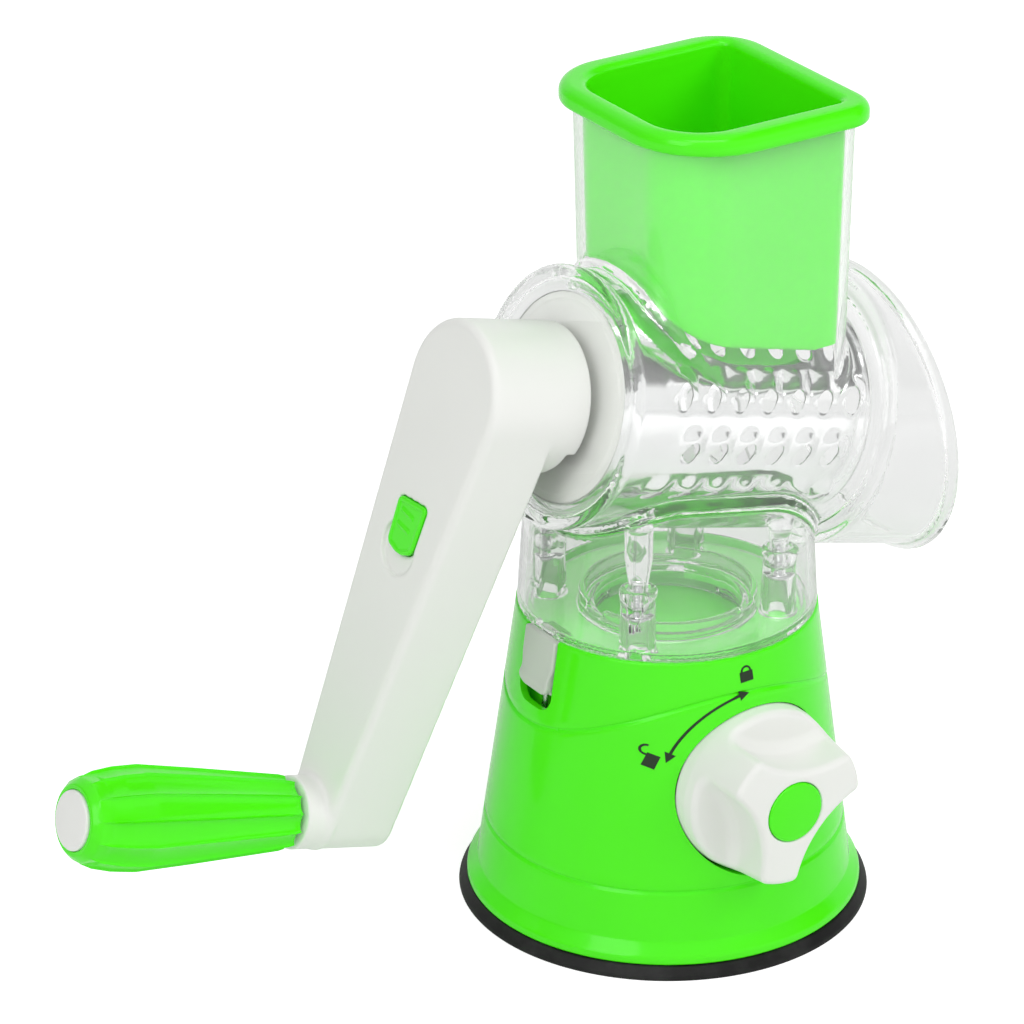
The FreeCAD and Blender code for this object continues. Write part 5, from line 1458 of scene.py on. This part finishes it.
def make_drum():
    """Steel drum: the tile's openings laid out, rolled, thickened and tilted."""
    tile = make_tile(sizes().scoop_height / MM, sizes().opening_width / MM)
    made = make("grating_drum", [(0, 0, 0)], [], "drum steel")
    grow(made, drum_tree(), tile=tile, rows=ROWS, openings=OPENINGS, pitch=HOLE_PITCH * MM,
         row_width=ROW_WIDTH * MM, first=FIRST_OPENING * MM, low_end=DRUM_START * MM,
         high_end=DRUM_END * MM, radius=DRUM_RADIUS * MM, first_angle=FIRST_ANGLE,
         material=finishes()["drum steel"])
    bpy.data.objects.remove(tile)
    flat = bmesh.new()
    flat.from_mesh(made.data)
    bmesh.ops.recalc_face_normals(flat, faces=flat.faces)
    outward = sum(face.normal.yz.dot(face.calc_center_median().yz) for face in flat.faces)
    if outward < 0:
        bmesh.ops.reverse_faces(flat, faces=flat.faces)
    flat.to_mesh(made.data)
    flat.free()
    wall = made.modifiers.new("wall", "SOLIDIFY")
    wall.thickness = sizes().sheet_thickness
    wall.offset = -1.0
    wall.use_even_offset = False
    plain(made)
    roll, roll_faces = lathe([(DRUM_RADIUS + 0.35 * math.cos(a) - 0.45,
                               DRUM_END + 0.4 + 0.7 * math.sin(a))
                              for a in np.linspace(0, 2 * math.pi, 12, endpoint=False)], 144)
    absorb(made, make("drum_edge", roll, roll_faces, "drum steel"))
    points = np.array([vertex.co for vertex in made.data.vertices]) / MM
    turned = from_drum(points) * MM
    made.data.vertices.foreach_set("co", turned.astype(np.float32).ravel())
    made.data.shade_smooth()
    made.data.set_sharp_from_angle(angle=math.radians(40.0))
    return dress(made, "crank", "polished_steel", "drum")


def make_hub():
    """White disc in the drum's end, with its neck and six-sided spindle."""
    profile = rounded([(0, -42.1), (30.0, -42.1, 0.6), (31.0, -41.7, 0.4), (33.1, -41.7, 0.4),
                       (33.1, -34.2, 0.4), (31.1, -34.2, 0.4), (31.1, -39.5, 0.5), (0, -39.5)],
                      0.5, 4, False)
    made = turn_piece("drum_disc", profile, 160, "white", from_drum, 45.0)
    neck = rounded([(0, -47.5), (10.0, -47.5, 0.5), (10.0, -42.0, 0.4), (0, -42.0)], 0.5, 3, False)
    spindle, spindle_faces = hexagon_mesh(HEX_RADIUS, -76.0, -47.0)
    absorb(made, turn_piece("drum_neck", neck, 96, "white", from_drum, 40.0),
           make("drum_spindle", from_drum(spindle), spindle_faces, "white"))
    made.data.set_sharp_from_angle(angle=math.radians(35.0))
    return dress(made, "crank", "white_plastic", "drum_hub")


def hexagon_mesh(radius, start, end):
    """Six-sided bar along the drum with a round groove for the lock plate and a blunt tip."""
    low, high = LOCK_GROOVE
    neck = 5.0
    rings = [(start, radius - 0.8), (start + 0.8, radius), (low, radius), (low, neck),
             (high, neck), (high, radius), (end, radius)]
    count = 48
    points = []
    for along, size in rings:
        for k in range(count):
            angle = 2 * math.pi * k / count
            apart = (angle + math.pi / 6) % (math.pi / 3) - math.pi / 6
            flat = size * math.cos(math.pi / 6) / math.cos(abs(abs(apart) - math.pi / 6))
            reach = size if size == neck else flat
            points.append((along, -reach * math.sin(angle), -reach * math.cos(angle)))
    faces = bands(len(rings), count)
    faces.append(tuple(range(count)))
    faces.append(tuple(reversed(range((len(rings) - 1) * count, len(rings) * count))))
    return points, faces


# ---- screws -----------------------------------------------------------------------------

def make_screw():
    """Pan-head screw with a cross recess, head at z = 0 downwards and shank upwards."""
    def field(x, y, z):
        around = length(x, y)
        head = blunt(length(x, y, (z - 1.6) * 0.95) - 3.8, span(z, -2.0, 0.0), 0.3)
        head = both(head, around - 3.0)
        cross = join(both(span(x, -0.45, 0.45), span(y, -1.7, 1.7)),
                     both(span(y, -0.45, 0.45), span(x, -1.7, 1.7)))
        return carve(head, both(cross, z + 1.2), 0.15)
    return net(field, (-3.2, -3.2, -2.2), (3.2, 3.2, 0.2), 0.24)


def screw_thread(reach):
    """Threaded shank from a screw's head upwards."""
    rings = [(0.0, -0.2), (1.1, -0.2), (1.15, 0.4)]
    level = 0.6
    while level < reach - 1.6:
        rings += [(1.1, level), (1.4, level + 0.35), (1.1, level + 0.7)]
        level += 1.0
    rings += [(0.9, reach - 0.8), (0.0, reach)]
    points, faces = lathe(rings, 20, False)
    return upright(points), faces


def screw_tree():
    """Tree that sets one screw on each point, along the point's own direction."""
    graph, wires = new_tree("screws", ("Screw", "Object", None),
                            ("Direction", "Vector", (0.0, 0.0, 1.0)))
    screw = graph.add("ObjectInfo", {"transform_space": "ORIGINAL"}, {"Object": wires["Screw"]},
                      "Geometry")
    turn = graph.add("FunctionNodeAlignRotationToVector", {"axis": "Z"},
                     {"Vector": wires["Direction"]})
    set_on = graph.add("InstanceOnPoints", None, {"Points": wires["Geometry"], "Instance": screw,
                                                  "Rotation": turn})
    real = graph.add("RealizeInstances", None, {"Geometry": set_on})
    smooth = graph.add("SetShadeSmooth", None, {"Geometry": real, "Shade Smooth": True})
    return close_tree(graph, wires, smooth)


def make_screws():
    """The four sets of screws, each placed by the screw tree."""
    tree = screw_tree()
    head, head_faces = make_screw()
    drum_axis = from_drum([(1, 0, 0)])[0] - from_drum([(0, 0, 0)])[0]
    corners = [(50.0 * math.cos(a), 50.0 * math.sin(a), 7.7)
               for a in (math.pi / 4 + k * math.pi / 2 for k in range(4))]
    sets = (
        ("frame_screw_set", "base", "frame_screws", corners, (0, 0, 1), 13.0),
        ("housing_screw_set", "base", "housing_screws",
         [(x, y, SCREW_SEAT) for x, y in POSTS], (0, 0, 1), 11.0),
        ("cover_screw_set", "crank", "cover_screws",
         from_crank([(ARM_BACK, spot, 0) for spot in COVER_SCREWS]), tuple(-drum_axis), 10.0),
        ("knob_screw_set", "knob", "knob_screw", from_knob([(66.0, 0, 0)]), (0, 1, 0), 13.0),
    )
    for name, body, node, spots, direction, reach in sets:
        shank, shank_faces = screw_thread(reach)
        unit = make("screw_unit", head, head_faces, "screw steel")
        absorb(unit, make("screw_shank", shank, shank_faces, "screw steel"))
        made = make(name, spots, [], "screw steel")
        grow(made, tree, screw=unit, direction=tuple(float(v) for v in direction),
             material=finishes()["screw steel"])
        bpy.data.objects.remove(unit)
        made.data.set_sharp_from_angle(angle=math.radians(35.0))
        dress(made, body, "steel", node)


# ---- markings ---------------------------------------------------------------------------

def on_cone(right, up, lift):
    """Point on the cone's front above (right, up) as seen along the knob's axis."""
    level = MARK_HEIGHT + up
    wall = cone_radius(level) + lift
    return (right, -math.sqrt(wall * wall - right * right), level)


def ribbon(outlines):
    """Closed thin raised shapes on the cone from outlines of (right, up) corners."""
    lift = sizes().mark_lift / MM
    points, faces = [], []
    for quad in outlines:
        base = len(points)
        points += [on_cone(right, up, lift) for right, up in quad]
        points += [on_cone(right, up, -0.25) for right, up in quad]
        count = len(quad)
        faces.append(tuple(base + k for k in range(count)))
        faces.append(tuple(base + count + k for k in reversed(range(count))))
        for k in range(count):
            after = (k + 1) % count
            faces.append((base + k, base + count + k, base + count + after, base + after))
    return points, faces


def arc_quads(centre, radius, width, start, end, steps):
    """Quads along an arc from start to end degrees."""
    quads = []
    for k in range(steps):
        a, b = (math.radians(start + (end - start) * (k + j) / steps) for j in (0, 1))
        inner, outer = radius - width / 2, radius + width / 2
        quads.append([(centre[0] + r * math.cos(t), centre[1] + r * math.sin(t))
                      for r, t in ((inner, a), (outer, a), (outer, b), (inner, b))])
    return quads


def padlock(centre, turn, opened):
    """Small padlock sign: a body and a shackle, which stands aside when it is open."""
    body = [(-2.3, -2.6), (2.3, -2.6), (2.3, 0.8), (-2.3, 0.8)]
    shackle = arc_quads((0.0, 0.9), 1.55, 0.6, 0, 180, 10)
    legs = [[(1.25, 0.5), (1.85, 0.5), (1.85, 1.0), (1.25, 1.0)],
            [(-1.85, 0.5), (-1.25, 0.5), (-1.25, 1.0), (-1.85, 1.0)]]
    if opened:
        shackle = [[(x + 3.1, y + 0.5) for x, y in quad] for quad in shackle]
        legs = [[(1.25, 0.5), (1.85, 0.5), (1.85, 1.5), (1.25, 1.5)]]
    cos, sin = turned(turn)
    return [[(centre[0] + x * cos - y * sin, centre[1] + x * sin + y * cos) for x, y in quad]
            for quad in [body] + shackle + legs]


def make_markings():
    """Turning arrow with two heads, between a locked and an open padlock."""
    radius, half = 32.3, 1.6
    shapes = arc_quads((0, 0), radius, 0.75, 98.5, 155.0, 32)
    for angle, turn in ((97.6, -1), (156.0, 1)):
        tip, foot = turned(angle + turn * 2.2), turned(angle - turn * 3.6)
        shapes.append([(reach * cos, reach * sin) for reach, (cos, sin) in
                       ((radius, tip), (radius - half, foot), (radius + half, foot))])
    shapes += padlock((-3.5, 38.6), 4.0, False)
    shapes += padlock((-34.6, 12.8), 66.0, True)
    outlines = []
    for quad in shapes:
        area = sum(a[0] * b[1] - b[0] * a[1] for a, b in zip(quad, quad[1:] + quad[:1]))
        outlines.append(quad if area > 0 else quad[::-1])
    points, faces = ribbon(outlines)
    made = make("turn_marks", points, faces, "ink", 30.0)
    return dress(made, "base", "black_rubber")


# ---- add-on -----------------------------------------------------------------------------

def size_setting(name, description, default, most):
    return bpy.props.FloatProperty(name=name, description=description, default=default,
                                   min=0.0, max=most, unit="LENGTH")


class ShredderSizes(bpy.types.PropertyGroup):
    """Sizes that a user may change"""
    scoop_height: size_setting("Scoop Height", "How far each scoop of the drum stands out",
                               0.0017, 0.003)
    opening_width: size_setting("Opening Width", "Width of the drum's openings", 0.006, 0.009)
    sheet_thickness: size_setting("Sheet Thickness", "Thickness of the drum's sheet",
                                  0.0006, 0.001)
    flute_count: bpy.props.IntProperty(
        name="Flutes", description="Number of flutes round the grip", default=12, min=4, max=24)
    flute_depth: size_setting("Flute Depth", "How deep the grip's flutes are pressed",
                              0.0019, 0.003)
    groove_depth: size_setting("Groove Depth", "Depth of the two grooves round the base",
                               0.0006, 0.001)
    knob_scoop: size_setting("Knob Scoop", "Radius of the knob's three finger scoops",
                             0.036, 0.04)
    mark_lift: size_setting("Mark Lift", "How far the printed signs stand off the base",
                            0.00014, 0.0005)


def colour_setting(name, description, default):
    return bpy.props.FloatVectorProperty(name=name, description=description, default=default,
                                         min=0.0, max=1.0, subtype="COLOR")


class ShredderColours(bpy.types.PropertyGroup):
    """Colours that a user may change"""
    green: colour_setting("Green", "Base, pusher, grip and button", linear(80, 248, 12))
    white: colour_setting("White", "Crank, knob and drum disc", linear(240, 241, 237))
    grey: colour_setting("Grey", "Latch and inner frame", linear(205, 211, 202))
    clear: colour_setting("Clear", "Tint of the clear plastic", (0.955, 0.96, 0.955))
    ink: colour_setting("Ink", "Printed signs on the base", linear(36, 52, 34))
    rubber: colour_setting("Rubber", "Suction ring", linear(20, 19, 20))
    drum_steel: colour_setting("Drum Steel", "Polished sheet of the drum", (0.96, 0.96, 0.965))
    screw_steel: colour_setting("Screw Steel", "Plated screws and springs", (0.6, 0.6, 0.62))


class SHREDDER_OT_stage(bpy.types.Operator):
    """Camera, floor, surroundings and lights"""
    bl_idname = "shredder.stage"
    bl_label = "Stage"

    def execute(self, context):
        make_stage()
        return {"FINISHED"}


class SHREDDER_OT_inner_parts(bpy.types.Operator):
    """Finishes of the parts that keep their solid shape"""
    bl_idname = "shredder.inner_parts"
    bl_label = "Inner Parts"

    def execute(self, context):
        repaint_frame()
        return {"FINISHED"}


class SHREDDER_OT_suction_ring(bpy.types.Operator):
    """Rubber ring under the base"""
    bl_idname = "shredder.suction_ring"
    bl_label = "Suction Ring"

    def execute(self, context):
        make_cup()
        return {"FINISHED"}


class SHREDDER_OT_base_cone(bpy.types.Operator):
    """Green base with its grooves, recess and latch slot"""
    bl_idname = "shredder.base_cone"
    bl_label = "Base"

    def execute(self, context):
        make_base_shell()
        return {"FINISHED"}


class SHREDDER_OT_marks(bpy.types.Operator):
    """Arrow and padlock signs above the knob"""
    bl_idname = "shredder.marks"
    bl_label = "Turn Marks"

    def execute(self, context):
        make_markings()
        return {"FINISHED"}


class SHREDDER_OT_knob(bpy.types.Operator):
    """Three-lobed knob and its cap"""
    bl_idname = "shredder.knob"
    bl_label = "Knob"

    def execute(self, context):
        make_knob()
        make_knob_cap()
        return {"FINISHED"}


class SHREDDER_OT_latch(bpy.types.Operator):
    """Sliding latch of the pedestal"""
    bl_idname = "shredder.latch"
    bl_label = "Latch"

    def execute(self, context):
        make_latch()
        return {"FINISHED"}


class SHREDDER_OT_pedestal(bpy.types.Operator):
    """Clear pedestal with its ring and sockets"""
    bl_idname = "shredder.pedestal"
    bl_label = "Pedestal"

    def execute(self, context):
        make_pedestal()
        return {"FINISHED"}


class SHREDDER_OT_housing(bpy.types.Operator):
    """Clear tube, chute and hood"""
    bl_idname = "shredder.housing"
    bl_label = "Housing"

    def execute(self, context):
        make_housing()
        return {"FINISHED"}


class SHREDDER_OT_pusher(bpy.types.Operator):
    """Green food pusher"""
    bl_idname = "shredder.pusher"
    bl_label = "Pusher"

    def execute(self, context):
        make_pusher()
        return {"FINISHED"}


class SHREDDER_OT_drum(bpy.types.Operator):
    """Perforated steel drum and its white disc"""
    bl_idname = "shredder.drum"
    bl_label = "Drum"

    def execute(self, context):
        make_drum()
        make_hub()
        return {"FINISHED"}


class SHREDDER_OT_crank(bpy.types.Operator):
    """Arm, back cover and release button"""
    bl_idname = "shredder.crank"
    bl_label = "Crank"

    def execute(self, context):
        make_arm()
        make_arm_cover()
        make_button()
        return {"FINISHED"}


class SHREDDER_OT_grip(bpy.types.Operator):
    """Fluted grip and its end cap"""
    bl_idname = "shredder.grip"
    bl_label = "Grip"

    def execute(self, context):
        make_grip()
        make_end_cap()
        return {"FINISHED"}


class SHREDDER_OT_screws(bpy.types.Operator):
    """All cross-head screws"""
    bl_idname = "shredder.screws"
    bl_label = "Screws"

    def execute(self, context):
        make_screws()
        return {"FINISHED"}


OPERATORS = (
    SHREDDER_OT_stage,
    SHREDDER_OT_inner_parts,
    SHREDDER_OT_suction_ring,
    SHREDDER_OT_base_cone,
    SHREDDER_OT_marks,
    SHREDDER_OT_knob,
    SHREDDER_OT_latch,
    SHREDDER_OT_pedestal,
    SHREDDER_OT_housing,
    SHREDDER_OT_pusher,
    SHREDDER_OT_drum,
    SHREDDER_OT_crank,
    SHREDDER_OT_grip,
    SHREDDER_OT_screws,
)


class SHREDDER_PT_panel(bpy.types.Panel):
    """Lists the sizes and the makers of the pieces"""
    bl_idname = "SHREDDER_PT_panel"
    bl_label = "Rotary Shredder"
    bl_space_type = "VIEW_3D"
    bl_region_type = "UI"
    bl_category = "Shredder"

    def draw(self, context):
        for settings in (context.scene.shredder_sizes, context.scene.shredder_colours):
            for name in settings.__annotations__:
                self.layout.prop(settings, name)
        for item in OPERATORS:
            self.layout.operator(item.bl_idname)


CLASSES = (ShredderSizes, ShredderColours) + OPERATORS + (SHREDDER_PT_panel,)


def register():
    for item in CLASSES:
        bpy.utils.register_class(item)
    bpy.types.Scene.shredder_sizes = bpy.props.PointerProperty(type=ShredderSizes)
    bpy.types.Scene.shredder_colours = bpy.props.PointerProperty(type=ShredderColours)


def unregister():
    del bpy.types.Scene.shredder_sizes
    del bpy.types.Scene.shredder_colours
    for item in reversed(CLASSES):
        bpy.utils.unregister_class(item)


def main():
    register()
    for item in OPERATORS:
        area, name = item.bl_idname.split(".")
        getattr(getattr(bpy.ops, area), name)()


if __name__ == "__main__":
    main()
